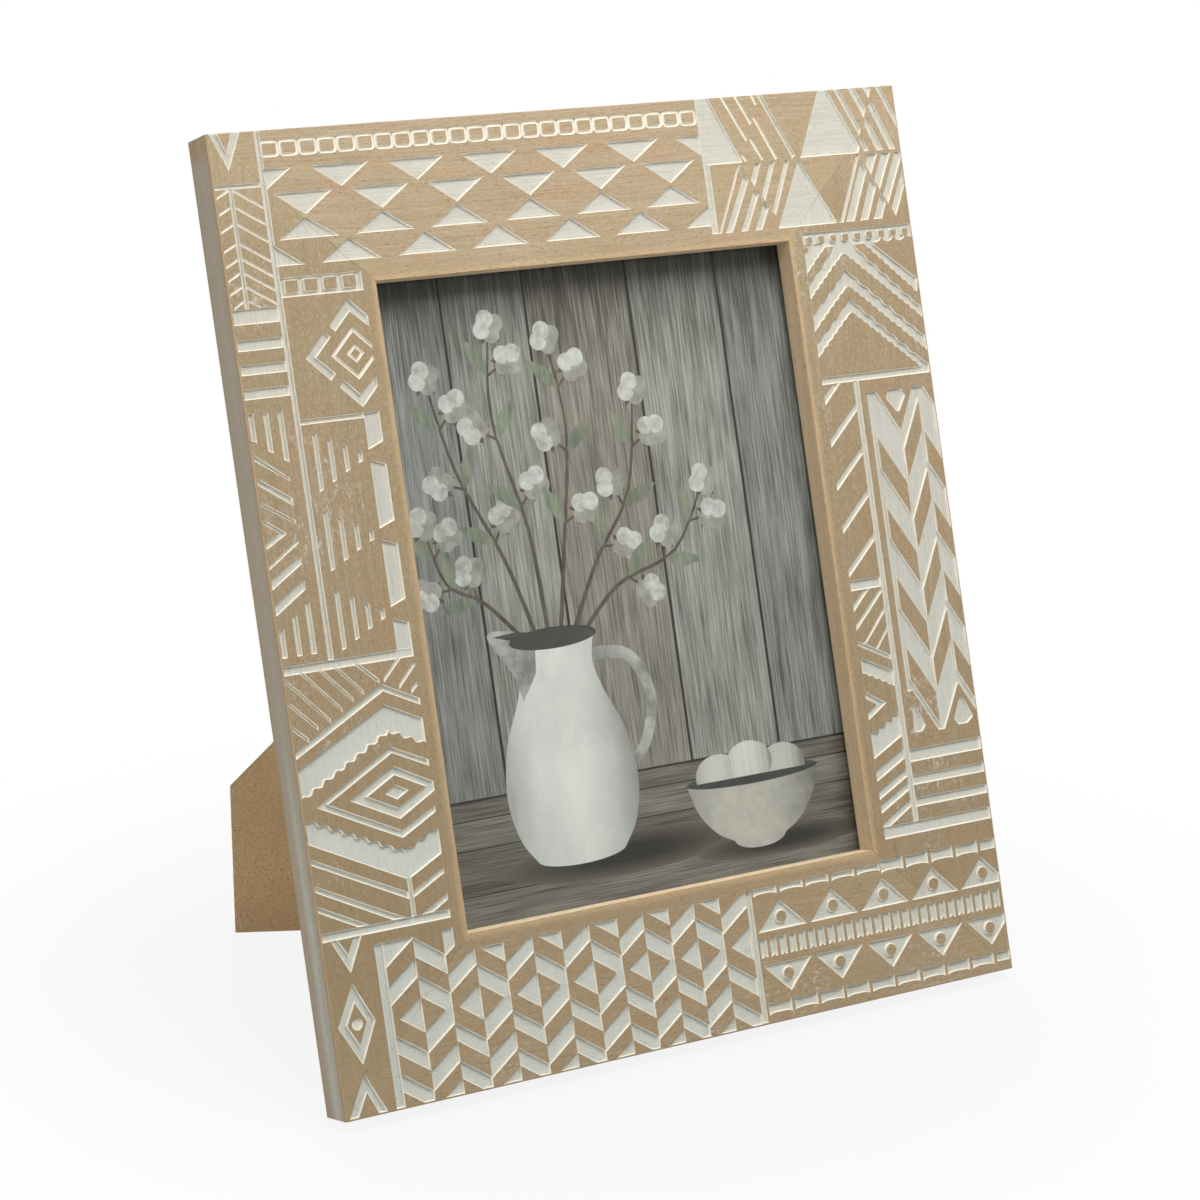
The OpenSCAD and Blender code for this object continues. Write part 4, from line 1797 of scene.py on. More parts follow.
@dataclass
class WaveGable:
    """Wavy gables under a border of small raised squares, at the top of the right stile."""

    left: float = 189.5
    peak: float = 203.7
    fine: Point = (2.6, 0.45)
    slow: Point = (5.2, 0.6)
    ceiling: float = 232.6
    scallop: tuple[Point, ...] = ((-2.1, 232.9), (-1.5, 232.0), (0.0, 231.5), (1.5, 232.0),
                                  (2.1, 232.9))

    @staticmethod
    def _wavy(line: Outline, wave: Point) -> Outline:
        """Wavy line through points, with its end point."""
        parts = (waves(start, end, *wave) for start, end in zip(line, line[1:]))
        return sum(parts, []) + [line[-1]]

    def _gable(self, low: Triple, high: Triple) -> Outline:
        """Gable between a finely waved lower edge and a slowly waved upper one.

        Args:
            low: heights of the lower edge at the left, the peak and the right.
            high: heights of the upper edge at the same places.

        Returns:
            The outline.
        """
        places = (self.left, self.peak, RIGHT)
        return (self._wavy(list(zip(places, low)), self.fine)
                + self._wavy(list(zip(places, high))[::-1], self.slow))

    def carve(self, carving: Carving) -> None:
        """Makes the cuts.

        Args:
            carving: what the cuts are added to.
        """
        left, ceiling = self.left, self.ceiling
        first, *others = [shifted(self.scallop, centre) for centre in (192.0, 216.0, 220.4, 224.9)]
        border = [(left, 236.7), (left, 233.0), *first, (197.0, 232.9), (197.0, 231.6),
                  (214.0, 231.6), *sum(others, []), (RIGHT, 232.2), (RIGHT, 236.7)]
        carving.cut(FIELDS, border, wall=0.32)
        carving.leave(FIELDS, rounded(rect(190.9, 233.3, 192.9, 235.2), 0.4), 9, (4.42, 0.0),
                      wall=0.25)
        carving.cut_all(BARS, [
            [(left, 223.9), *waves((left + 1.2, 225.0), (198.3, 232.2), *self.fine),
             (198.3, 233.2), (193.6, 233.2), (left, 230.6)],
            [*waves((210.6, 232.2), (RIGHT, 213.8), *self.fine), (RIGHT, 219.4), (215.4, 231.2),
             (214.6, 233.2), (210.6, 233.2)],
            [*self._wavy([(left, 215.8), (self.peak, 229.2), (RIGHT, 206.6)], self.fine),
             *waves((RIGHT, 210.6), (207.6, ceiling - 0.6), *self.slow), (207.6, ceiling),
             (200.6, ceiling), *waves((200.6, ceiling - 0.6), (left, 220.8), *self.slow),
             (left, 220.8)],
            self._gable((205.8, 219.0, 196.3), (211.4, 224.6, 201.4))], 0.36)
        last = [(u, max(v, 190.4)) for u, v in self._gable((197.6, 210.8, 188.6),
                                                           (202.7, 215.6, 192.4))]
        carving.cut(BARS, without_short_edges(last, 0.0), wall=0.34)
        carving.cut(FIELDS, rect(left, 189.5, RIGHT, 192.0))


@dataclass
class LatticeColumn:
    """Narrow column of slanting stripes on the right stile, beside an upright line."""

    left: float = 189.6
    right: float = 200.9
    line: Point = (200.7, 202.8)

    def carve(self, carving: Carving) -> None:
        """Makes the cuts.

        Args:
            carving: what the cuts are added to.
        """
        left, right = self.left, self.right
        carving.cut(BARS, rect(self.line[0], 51.5, self.line[1], 190.0))
        carving.cut_all(STROKES, [
            [(left, 183.1), (196.5, 189.8), (193.4, 189.8), (left, 186.1)],
            *(band(left, low, low + 2.8, right, low + 10.6, low + 13.4)
              for low in (169.9, 156.4, 143.1, 129.5))])
        carving.cut_all(STROKES, [
            [(left, 118.8), (196.6, 125.6), (194.0, 125.6), (left, 121.1)],
            band(left, 112.9, 115.0, right, 123.8, 125.9),
            [(190.6, 108.0), (192.9, 109.0), (right, 117.6), (right, 119.8)],
            [(left, 51.4), (192.4, 51.7), (right, 56.5), (right, 59.1), (left, 53.1)]], 0.4)
        carving.cut(STROKES, [(194.8, 105.6), (196.8, 106.8), (right, 111.6), (right, 113.6)],
                    wall=0.36)
        carving.cut_all(STROKES, [band(left, low, low + thick, right, low + 5.7, low + 5.7 + thick)
                                  for low, thick in ((65.9, 3.5), (60.2, 2.8), (55.9, 2.8))], 0.42)
        carving.cut(FIELDS, [*waves((left, 99.9), (right, 94.0), 2.4, 0.45), (right, 94.0),
                             (right, 99.4), (left, 105.0)], wall=0.36)
        carving.cut_all(FIELDS, [
            band(left, 108.4, 110.3, right, 102.4, 104.3),
            [(left, 85.1), (197.1, 89.7), (left, 94.5), (left, 91.9), (193.0, 89.8), (left, 87.8)],
            [(left, 72.9), (right, 78.6), (right, 85.7), (198.2, 86.0), (198.2, 84.4),
             (195.5, 84.7), (195.5, 82.8), (192.8, 83.0), (192.8, 81.2), (left, 81.9)]], 0.4)
        carving.cut_all(FIELDS, [rect(left, 125.4, right, 128.8), rect(left, 47.9, RIGHT, 51.9),
                                 *(rect(self.line[1] - 0.1, low, RIGHT, high) for low, high in
                                   ((70.0, 74.1), (62.8, 66.0), (56.0, 59.0)))])


@dataclass
class LeafPanel:
    """Light panel with three columns of raised slanting leaves, on the right stile."""

    pitch: float = 22.0
    columns: tuple[tuple[float, float, float, float, float], ...] = (
        (206.9, 215.4, 171.2, -14.9, 9.6), (216.3, 223.6, 166.8, 14.4, 9.0),
        (224.5, 230.4, 171.2, -10.6, 9.3))

    def carve(self, carving: Carving) -> None:
        """Makes the cuts.

        Args:
            carving: what the cuts are added to.
        """
        carving.cut(FIELDS, [
            (205.0, 91.8), (206.9, 91.8), (214.6, 78.3), (217.1, 78.3), (224.1, 91.7),
            (RIGHT, 82.0), (RIGHT, 179.7), (226.3, 185.8), (221.9, 185.8), (215.8, 172.9),
            (208.7, 185.8), (205.0, 185.8)], wall=0.4)
        for left, end, top, rise, height in self.columns:
            carving.leave(FIELDS, band(left, top - height, top, end, top - height + rise,
                                       top + rise), 4, (0.0, -self.pitch), wall=0.33)
        drop = rounded([(211.8, 183.0), (215.0, 178.6), (216.2, 178.6), (219.3, 183.4),
                        (217.8, 185.9), (212.7, 185.9)], 0.6, 2)
        carving.cut_all(INSETS, [
            drop,
            [(205.5, 79.4), (206.5, 78.8), (208.7, 78.8), (210.2, 80.7), (207.1, 87.6),
             (206.0, 87.6)],
            [(220.7, 80.8), (222.2, 78.9), (225.8, 78.8), (228.2, 80.8), (225.2, 87.5),
             (223.7, 87.5)]], 0.4)


CARVED_FIELDS = (VeeAndFeather, TallyColumn, ChainBorder, TriangleRows, PyramidPanel,
                 NestedDiamonds, DashWedges, FernPanel, ScallopEye, RibbedChevrons,
                 LozengeColumn, Herringbone, BambooAndTeeth, WaveGable, LatticeColumn, LeafPanel)


def finish_piece(name: str, mesh: Mesh, body: str, node: str) -> None:
    """Makes a piece of the part from a mesh in the part's own axes.

    Args:
        name: the piece's name.
        mesh: its final mesh.
        body: the body that it rides on.
        node: the CAD node that it stands for.
    """
    piece = placed(name, mesh)
    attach(piece, body)
    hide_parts(node)
    LOG.info("%s: %d triangles, rides on %s", name,
             sum(len(p.vertices) - 2 for p in mesh.polygons), body)


class Side(Enum):
    """The four sides of the frame, named for the turn from the bottom side to each."""

    BOTTOM = 0
    LEFT = 90
    TOP = 180
    RIGHT = 270


@dataclass
class Rails:
    """The four mitred rails, each cut from a rebated blank and then carved."""

    arris: float = 0.35
    mitre_gap: float = 0.06
    lip: float = 1.3
    nodes: tuple[tuple[str, Side], ...] = (
        ("top_rail", Side.TOP), ("bottom_rail", Side.BOTTOM),
        ("left_stile", Side.LEFT), ("right_stile", Side.RIGHT))

    def _profile(self) -> list[Point]:
        """Draws the section of a rail.

        Returns:
            Its corners, as distance from the outer edge and place behind the back.
        """
        face, wide, rim, soft = -STAND.thickness, STAND.rail, self.arris, 0.3 * self.arris
        inner, shelf = wide - STAND.rebate, -STAND.rebate_depth
        return [(0, 0), (0, face + rim), (soft, face + soft), (rim, face), (wide - rim, face),
                (wide - soft, face + soft), (wide, face + rim), (wide, shelf), (inner, shelf),
                (inner, 0)]

    def _blank(self, side: Side) -> Mesh:
        """Makes a rebated rail with mitred ends.

        Args:
            side: the side of the frame that it lies on.

        Returns:
            The rail in frame axes.
        """
        half_wide, height = STAND.width / 2, STAND.height
        level = side in (Side.TOP, Side.BOTTOM)
        half = (half_wide if level else height / 2) - self.mitre_gap
        mesh = loft([[Vector((end * (half - away), deep, away)) for away, deep in self._profile()]
                     for end in (-1, 1)])
        place = {Side.LEFT: (-half_wide, 0, height / 2), Side.RIGHT: (half_wide, 0, height / 2),
                 Side.TOP: (0, 0, height), Side.BOTTOM: (0, 0, 0)}[side]
        mesh.transform(Matrix.Translation(place)
                       @ Matrix.Rotation(math.radians(side.value), 4, "Y"))
        return mesh

    def _finish_of(self, centre: Vector, normal: Vector) -> Dress:
        """Which finish a face takes, by where it lies and which way it looks.

        Args:
            centre: the face's middle in frame axes.
            normal: the way it looks.

        Returns:
            The finish.
        """
        rim = min(STAND.width / 2 - abs(centre.x), centre.z, STAND.height - centre.z)
        depth, off_sight = centre.y + STAND.thickness, rim < STAND.rail - 0.5
        chamfered = 0.1 < -normal.y < 0.98 and depth < self.arris
        if rim < 0.05 and abs(normal.y) < 0.4:
            return Dress.SIDE
        if chamfered and (rim < self.arris or rim > STAND.rail - self.arris):
            return Dress.ARRIS
        if depth < self.lip and (normal.y < -0.1 or depth > 0.02 and off_sight):
            return Dress.CARVED
        if centre.y < -STAND.rebate_depth and not off_sight:
            return Dress.SIGHT
        return Dress.BARE

    def build(self, cutters: list[Thing]) -> None:
        """Makes the four rails.

        Args:
            cutters: what is carved away, one object for each layer.
        """
        arris = (tint(202, 176, 140), tint(180, 151, 114))
        # the level rails' sight faces are painted brighter: a painted highlight for the light on
        # the upward-facing bottom sight face; the stiles keep plain wood
        sights_with_painted_highlight = {False: (tint(252, 232, 200), tint(236, 208, 170)),
                  True: (tint(208, 186, 152), tint(186, 160, 124))}
        finishes = {up: [CarvedFace(up).make(), WashedSide(up).make(), BareWood(up).make(),
                         BareWood(up, "worn_arris", *arris).make(),
                         BareWood(up, "sight_edge", *sights_with_painted_highlight[up]).make()]
                    for up in (False, True)}
        for name, side in self.nodes:
            mesh = reduce(cut_away, cutters, self._blank(side))
            mesh.materials.clear()
            for finish in finishes[side in (Side.LEFT, Side.RIGHT)]:
                mesh.materials.append(finish)
            for face in mesh.polygons:
                face.material_index = self._finish_of(face.center, face.normal).value
            mesh.transform(STAND.matrix())
            finish_piece(f"carved_{name}", mesh, "frame", name)


Shapes = list[tuple[str, Outline]]
CURVE_PARTS = 5


def smooth_line(points: Outline) -> Outline:
    """Points along a smooth curve through the given ones.

    Args:
        points: the given ones.

    Returns:
        The curve's points.
    """
    ends = [Vector(point) for point in (points[0], *points, points[-1])]
    made: Outline = []
    for a, b, c, d in zip(ends, ends[1:], ends[2:], ends[3:]):
        for t in (i / CURVE_PARTS for i in range(CURVE_PARTS)):
            made.append(tuple(0.5 * (2 * b + (c - a) * t + (2 * a - 5 * b + 4 * c - d) * t * t
                                     + (3 * b - a - 3 * c + d) * t ** 3)))
    return made + [points[-1]]


def ribbon(points: Outline, start_width: float, end_width: float) -> Outline:
    """Outline of a line that bends smoothly through points and changes its width.

    Args:
        points: the points.
        start_width, end_width: its width at both ends.

    Returns:
        The outline.
    """
    path = [Vector(point) for point in smooth_line(points)]
    last = len(path) - 1
    left: Outline = []
    right: Outline = []
    for i, here in enumerate(path):
        side = left_side(path[min(i + 1, last)] - path[max(i - 1, 0)])
        half = (start_width + (end_width - start_width) * i / last) / 2
        left.append(tuple(here + side * half))
        right.append(tuple(here - side * half))
    return right + left[::-1]


def leaf_outline(base: Point, angle: float, length: float, width: float) -> Outline:
    """Slender pointed leaf.

    Args:
        base: where it starts.
        angle: which way it points, in degrees.
        length, width: its size.

    Returns:
        The outline.
    """
    turn = Matrix.Rotation(math.radians(angle), 2)
    lower = [(0.0, 0.0), (0.25, -0.42), (0.55, -0.5), (0.85, -0.22), (1.0, 0.0)]
    upper = [(x, -y) for x, y in lower[3:0:-1]]
    return [tuple(Vector(base) + turn @ Vector((x * length, y * width))) for x, y in lower + upper]


@dataclass
class StillLife:
    """The picture: a jug of cotton twigs and a bowl on a board table before a plank wall."""

    horizon: float = 82.0
    planks: tuple[float, ...] = (30.0, 68.5, 96.0, 131.0, 162.0, 200.0)
    boards: tuple[float, ...] = (30.0, 54.5, 68.0, 76.5, 82.0)
    gap: float = 0.9
    thin_gap: float = 0.7
    foot: float = 3.2
    jug_middle: float = 90.0
    jug_side: tuple[Point, ...] = ((15.0, 61.0), (19.5, 68.0), (22.0, 80.0), (20.0, 95.0),
                                   (14.5, 108.0), (12.0, 117.0), (13.5, 125.0))
    bowl_middle: float = 151.0
    bowl_side: tuple[Point, ...] = ((9.0, 55.5), (15.0, 59.0), (20.5, 66.0), (23.0, 74.0))
    twigs: tuple[tuple[Point, ...], ...] = (
        ((86.0, 122.0), (78.0, 150.0), (66.0, 178.0), (60.0, 206.0)),
        ((89.0, 122.0), (87.0, 158.0), (80.0, 192.0), (83.0, 219.0)),
        ((92.0, 122.0), (98.0, 152.0), (104.0, 186.0), (101.0, 214.0)),
        ((95.0, 122.0), (108.0, 146.0), (122.0, 166.0), (128.0, 196.0)),
        ((97.0, 122.0), (114.0, 138.0), (135.0, 146.0), (148.0, 166.0)),
        ((84.0, 122.0), (70.0, 138.0), (58.0, 146.0), (53.0, 164.0)))
    leaf: Point = (13.0, 4.4)
    spur: float = 8.5
    boll: float = 3.9
    behind_glass: float = 0.05
    tones: tuple[PrintTone, ...] = (
        # the planks darken towards the picture's top: painted shadow of the top rail
        PrintTone("plank_pale", tint(152, 150, 142), tint(78, 75, 69), painted_rail_shadow=0.55),
        PrintTone("plank_grey", tint(138, 138, 133), tint(68, 67, 63), shift=41.0, painted_rail_shadow=0.55),
        PrintTone("plank_brown", tint(144, 137, 126), tint(66, 61, 54), shift=83.0, painted_rail_shadow=0.55),
        PrintTone("board_pale", tint(128, 122, 112), tint(70, 65, 57), upright=False),
        PrintTone("board_dark", tint(114, 107, 97), tint(57, 52, 45), upright=False, shift=29.0),
        PrintTone("gap", tint(40, 37, 32), tint(26, 24, 20)),
        PrintTone("pool", tint(92, 85, 74), tint(34, 31, 26), upright=False,
                  pooled_at=(104.0, 58.5, 40.0, 6.5)),
        PrintTone("pool_small", tint(92, 85, 74), tint(34, 31, 26), upright=False,
                  pooled_at=(158.0, 53.5, 30.0, 4.5)),
        PrintTone("enamel", tint(204, 203, 196), tint(96, 95, 90), round_about=(87.0, 29.0),
                  streak=(0.03, 0.06)),
        PrintTone("enamel_shade", tint(170, 169, 162), tint(112, 111, 105), streak=(0.1, 0.1)),
        PrintTone("inside", tint(78, 76, 70), tint(50, 47, 43), streak=(0.1, 0.1)),
        PrintTone("rim_line", tint(62, 61, 58), tint(46, 44, 41)),
        PrintTone("stoneware", tint(176, 171, 160), tint(84, 80, 72), round_about=(147.0, 30.0),
                  streak=(0.2, 0.2)),
        PrintTone("egg_left", tint(190, 186, 176), tint(104, 99, 90), round_about=(138.5, 10.0)),
        PrintTone("egg_right", tint(184, 180, 170), tint(98, 93, 84), round_about=(161.0, 10.0)),
        PrintTone("egg_middle", tint(200, 197, 188), tint(116, 111, 102),
                  round_about=(149.5, 10.0)),
        PrintTone("twig", tint(92, 80, 66), tint(58, 50, 42), streak=(0.2, 0.6)),
        PrintTone("leaf", tint(126, 130, 112), tint(88, 92, 78), streak=(0.1, 0.5)),
        PrintTone("cotton", tint(186, 185, 179), tint(140, 138, 130), streak=(0.25, 0.3)),
        PrintTone("cotton_shade", tint(150, 148, 140), tint(118, 114, 106), streak=(0.25, 0.3)))

    def _shapes(self) -> Shapes:
        """The printed shapes from the furthest to the nearest, each with its tone."""
        twigs = sum((self._twig(twig) for twig in self.twigs), [])
        return self._wall_and_table() + twigs + self._jug() + self._bowl()

    def _wall_and_table(self) -> Shapes:
        """Planks and boards with dark gaps between them, and the shadows on the table.

        Returns:
            The shapes.
        """
        names, low, high = ("grey", "pale", "brown", "pale", "grey"), self.horizon, STAND.height
        made = [(f"plank_{name}", rect(left, low, right, high))
                for name, left, right in zip(names, self.planks, self.planks[1:])]
        made += [("gap", rect(left - self.gap / 2, low, left + self.gap / 2, high))
                 for left in self.planks[1:-1]]
        for i, (low, high) in enumerate(zip(self.boards, self.boards[1:])):
            half = self.thin_gap / 2
            made += [(("board_pale", "board_dark")[i % 2], rect(0, low, STAND.width, high)),
                     ("gap", rect(0, high - half, STAND.width, high + half))]
        return made + [("pool", oval((self.jug_middle + 14, 58.5), 40.0, 6.4)),
                       ("pool_small", oval((self.bowl_middle + 7, 53.5), 30.0, 4.4))]

    def _twig(self, path: tuple[Point, ...]) -> Shapes:
        """A bending twig with leaves along it and cotton bolls on short spurs.

        Args:
            path: points that it bends through, from its foot.

        Returns:
            The shapes.
        """
        made = [("twig", ribbon(path, 1.5, 0.7))]
        line = smooth_line(path)
        for share, side in ((0.42, 1), (0.58, -1), (0.76, 1)):
            i = int(share * len(line))
            here, ahead = Vector(line[i]), Vector(line[i + 1])
            angle = math.degrees(math.atan2(ahead.y - here.y, ahead.x - here.x))
            turn = Matrix.Rotation(math.radians(-52 * side), 2)
            tip = here + turn @ (ahead - here).normalized() * self.spur
            spur = [tuple(point) for point in (here, (here + tip) / 2, tip)]
            made += [("leaf", leaf_outline(line[i], angle + 38 * side, *self.leaf)),
                     ("twig", ribbon(spur, 0.9, 0.6)), *self._cotton(spur[-1], angle - 52 * side)]
        return made + self._cotton(path[-1], 90.0)

    def _cotton(self, centre: Point, angle: float) -> Shapes:
        """A cotton boll: four soft lobes in a brown cup.

        Args:
            centre: its middle.
            angle: which way it looks, in degrees.

        Returns:
            The shapes.
        """
        made = [("twig", leaf_outline(centre, angle + turn, self.boll * 1.5, 2.4))
                for turn in (150, 210)]
        for turn, tone in ((200, "cotton_shade"), (110, "cotton"), (290, "cotton_shade"),
                           (20, "cotton")):
            way = Matrix.Rotation(math.radians(angle + turn), 2) @ Vector((self.boll * 0.62, 0))
            made.append((tone, circle(tuple(Vector(centre) + way), self.boll * 0.72, 14)))
        return made

    def _thrown(self, middle: float, side: tuple[Point, ...]) -> Outline:
        """Outline of a round vessel with a curved foot.

        Args:
            middle: its middle line.
            side: its right-hand side upwards, as distances from that line and heights.

        Returns:
            The outline.
        """
        line = smooth_line(side)
        half, low = line[0]
        foot = oval((middle, low), half, self.foot, 24)[13:]
        return [(middle + reach, v) for reach, v in line] + [
            (middle - reach, v) for reach, v in line[::-1]] + foot

    def _jug(self) -> Shapes:
        """An enamelled jug with a beak on its left and a handle on its right.

        Returns:
            The shapes.
        """
        middle = self.jug_middle
        handle = shifted([(11, 119), (24, 117), (30, 104), (26, 90), (18, 83)], middle)
        beak = shifted([(-12.4, 108), (-14.8, 117), (-21.5, 128.6), (-14, 129.4), (-6, 126)],
                       middle)
        pour = shifted([(-19.8, 128.2), (-13, 126.2), (-6, 123.5), (-4, 127), (-12, 128.8)],
                       middle)
        return [("enamel_shade", ribbon(handle, 4.0, 3.2)),
                ("enamel", self._thrown(middle, self.jug_side)),
                ("enamel_shade", smooth_line(beak) + [(middle - 7, 116)]),
                ("rim_line", oval((middle, 125.5), 14.6, 3.2)),
                ("inside", oval((middle, 125.3), 13.6, 2.5)), ("inside", smooth_line(pour))]

    def _bowl(self) -> Shapes:
        """A stoneware bowl with three eggs in it.

        Returns:
            The shapes.
        """
        lip = oval((self.bowl_middle, 74.5), 23.4, 2.6)
        eggs = [(f"egg_{place}", oval(centre, 8.2, 6.6)) for place, centre in (
            ("left", (139.5, 76.0)), ("right", (162.0, 76.2)), ("middle", (150.5, 78.5)))]
        return [("inside", lip), *eggs, ("stoneware", self._thrown(self.bowl_middle,
                                                                   self.bowl_side)),
                ("rim_line", [(u, v) for u, v in lip if v <= 74.6])]

    def make_sheet(self, low: Vector, high: Vector) -> Mesh:
        """Thin sheet whose front is divided along the printed shapes.

        Args:
            low, high: its lowest and highest corner in frame axes.

        Returns:
            The mesh in the part's own axes, with a material for each tone.
        """
        half = STAND.width / 2
        u0, u1 = low.x + half, high.x + half
        shapes = [("plank_grey", rect(u0, low.z, u1, high.z))]
        for name, outline in self._shapes():
            held = [(min(max(u, u0), u1), min(max(v, low.z), high.z)) for u, v in outline]
            if abs(area(held)) > 0.05:
                shapes.append((name, counter_clockwise(held)))
        points = [Vector(point) for _, outline in shapes for point in outline]
        numbers = iter(range(len(points)))
        faces = [[next(numbers) for _ in outline] for _, outline in shapes]
        places, _, triangles, _, _, owners = delaunay_2d_cdt(points, [], faces, 1, 1e-4, True)
        shape = bmesh.new()
        corners = [shape.verts.new((p.x - half, low.y + self.behind_glass, p.y)) for p in places]
        names = [tone.name for tone in self.tones]
        for triangle, owner in zip(triangles, owners):
            face = shape.faces.new([corners[i] for i in triangle])
            face.material_index = names.index(shapes[max(owner)][0])
        rim = [edge for edge in shape.edges if edge.is_boundary]
        for item in bmesh.ops.extrude_edge_only(shape, edges=rim)["geom"]:
            if isinstance(item, bmesh.types.BMVert):
                item.co.y = high.y
        back = [edge for edge in shape.edges if edge.is_boundary]
        bmesh.ops.holes_fill(shape, edges=back, sides=0)
        bmesh.ops.recalc_face_normals(shape, faces=shape.faces)
        mesh = as_mesh(shape, "picture_sheet")
        for tone in self.tones:
            mesh.materials.append(tone.make())
        mesh.transform(STAND.matrix())
        return mesh

    def build(self) -> None:
        """Makes the printed sheet in the place of the plain CAD one."""
        back = STAND.matrix().inverted()
        points = [back @ corner.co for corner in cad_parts["picture_print"].data.vertices]
        low, high = (Vector([end(p[i] for p in points) for i in range(3)]) for end in (min, max))
        finish_piece("printed_picture", self.make_sheet(low, high), "frame",
                     "picture_print")


def welded(node: str) -> bmesh.types.BMesh:
    """A CAD node's shape with its doubled points joined.

    Args:
        node: the CAD node.

    Returns:
        The shape, to be freed after use.
    """
    shape = bmesh.new()
    shape.from_mesh(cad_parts[node].data)
    bmesh.ops.remove_doubles(shape, verts=shape.verts, dist=0.002 * MM)
    return shape


def softened(node: str, bevel: float) -> Mesh:
    """A CAD node's shape with its flat faces joined and its edges softened.

    Args:
        node: the CAD node.
        bevel: width of the softened edges in millimetres.

    Returns:
        The new mesh in the part's own axes.
    """
    shape = welded(node)
    bmesh.ops.dissolve_limit(shape, angle_limit=math.radians(1), verts=shape.verts,
                             edges=shape.edges)
    return evaluated(as_mesh(shape, node), "BEVEL", width=bevel * MM, segments=2,
                     limit_method="ANGLE", angle_limit=math.radians(40), use_clamp_overlap=True)


def turned(profile: list[Point], sides: int = 28) -> Mesh:
    """Solid turned about z.

    Args:
        profile: radius and height from the top of the axis to its foot, both on the axis.
        sides: number of sides.

    Returns:
        The closed mesh in millimetres.
    """
    (_, top), *rings, (_, foot) = profile
    points = [Vector((*point, height)) for radius, height in rings
              for point in circle((0.0, 0.0), radius, sides)]
    faces, last = joined_rings(len(rings), sides), len(points)
    for i in range(sides):
        j = (i + 1) % sides
        faces += [[last, j, i], [last + 1, last - sides + i, last - sides + j]]
    return plain_mesh(points + [Vector((0, 0, top)), Vector((0, 0, foot))], faces)


def dome(radius: float, rise: float, rings: int = 6) -> list[Point]:
    """Profile of a low dome.

    Args:
        radius: its radius.
        rise: how high it is.
        rings: how many straight parts the profile has.

    Returns:
        Radius and height from the crown, which is at height 0, to the edge.
    """
    ball = (radius ** 2 + rise ** 2) / (2 * rise)
    reach = math.asin(radius / ball)
    return [(ball * math.sin(reach * i / rings), ball * math.cos(reach * i / rings) - ball)
            for i in range(rings + 1)]


@dataclass(frozen=True)
class RoundScrew:
    """Dome-headed wood screw with a cross recess and a cut thread."""

    length: float
    head: float = 6.0
    rise: float = 1.8
    shank: float = 3.0
    plain: float = 1.6
    pitch: float = 1.1
    thread: float = 0.35
    tip: float = 1.5
    rows: int = 8
    recess: Point = (3.4, 0.9)
    recess_depth: float = 1.25

    def make(self) -> Mesh:
        """Makes the screw.

        Returns:
            It in millimetres, with its crown at the origin and its axis along z.
        """
        core, rows = self.shank / 2 - self.thread, self.rows
        profile = dome(self.head / 2, self.rise) + [(self.shank / 2, -self.rise)]
        start, drop = -self.rise - self.plain, self.pitch / rows
        profile += [(core + self.thread * (1 - abs(2 * (i % rows) / rows - 1)), start - drop * i)
                    for i in range(round((self.length + start - self.tip) / drop))]
        blank = turned(profile + [(0.3, 0.4 - self.length), (0.0, -self.length)])
        cross = placed("recess", self._cross())
        made = cut_away(blank, cross)
        bpy.data.objects.remove(cross)
        return made

    def _cross(self) -> Mesh:
        """Makes a cross that narrows as it goes down into the head.

        Returns:
            The cross.
        """
        arm, web = self.recess[0] / 2, self.recess[1] / 2
        outline = [Matrix.Rotation(math.radians(90 * k), 2) @ Vector(p)
                   for k in range(4) for p in ((arm, -web), (arm, web), (web, web))]
        return loft([[Vector((*(p * share), height)) for p in outline]
                     for share, height in ((1.0, 0.2), (0.55, -self.recess_depth))])


@dataclass(frozen=True)
class DomedRivet:
    """Tubular rivet with a domed head and a rolled or flush tail."""

    length: float
    tail: float = 0.0
    head: float = 4.6
    rise: float = 1.0
    shank: float = 2.4
    soft: float = 0.15
    hole: Point = (0.75, 0.6)

    def make(self) -> Mesh:
        """Makes the rivet.

        Returns:
            It in millimetres, with its crown at the origin and its axis along z.
        """
        under, end = self.tail - self.length, -self.length
        edge, wire, soft, (mouth, bore) = self.head / 2, self.shank / 2, self.soft, self.hole
        if self.tail:
            tail = [(wire, under), (edge, under), (edge, under - 0.2), (edge - 0.3, end)]
        else:
            tail = [(wire, under + soft), (wire - soft, under)]
        return turned(dome(edge, self.rise) + [(wire, -self.rise)] + tail
                      + [(mouth, end), (bore, end + soft), (bore, end + 0.7), (0.0, end + 0.8)])


@dataclass(frozen=True)
class WireNail:
    """Short wire nail with a flat head."""

    length: float
    head: float = 3.4
    thick: float = 0.6
    shank: float = 1.4
    point: float = 1.6

    def make(self) -> Mesh:
        """Makes the nail.

        Returns:
            It in millimetres, with the top of its head at the origin and its axis along z.
        """
        edge, wire, under, foot = self.head / 2, self.shank / 2, -self.thick, -self.length
        return turned([(0.0, 0.0), (edge * 0.6, -0.02), (edge - 0.12, -0.06), (edge, -0.2),
                       (edge, under + 0.1), (edge - 0.1, under), (wire, under),
                       (wire, foot + self.point), (0.15, foot + 0.1), (0.0, foot)], 20)


def solids_of(node: str) -> list[list[Vector]]:
    """Finds the separate solids of a CAD node.

    Args:
        node: the CAD node.

    Returns:
        The corner points of each, in the part's own axes.
    """
    shape = welded(node)
    left, solids = set(shape.verts), []
    while left:
        waiting, found = [left.pop()], []
        while waiting:
            corner = waiting.pop()
            found.append(corner.co.copy())
            near = {edge.other_vert(corner) for edge in corner.link_edges} & left
            left -= near
            waiting += near
        solids.append(found)
    shape.free()
    return sorted(solids, key=lambda points: min(tuple(round(c, 5) for c in p) for p in points))


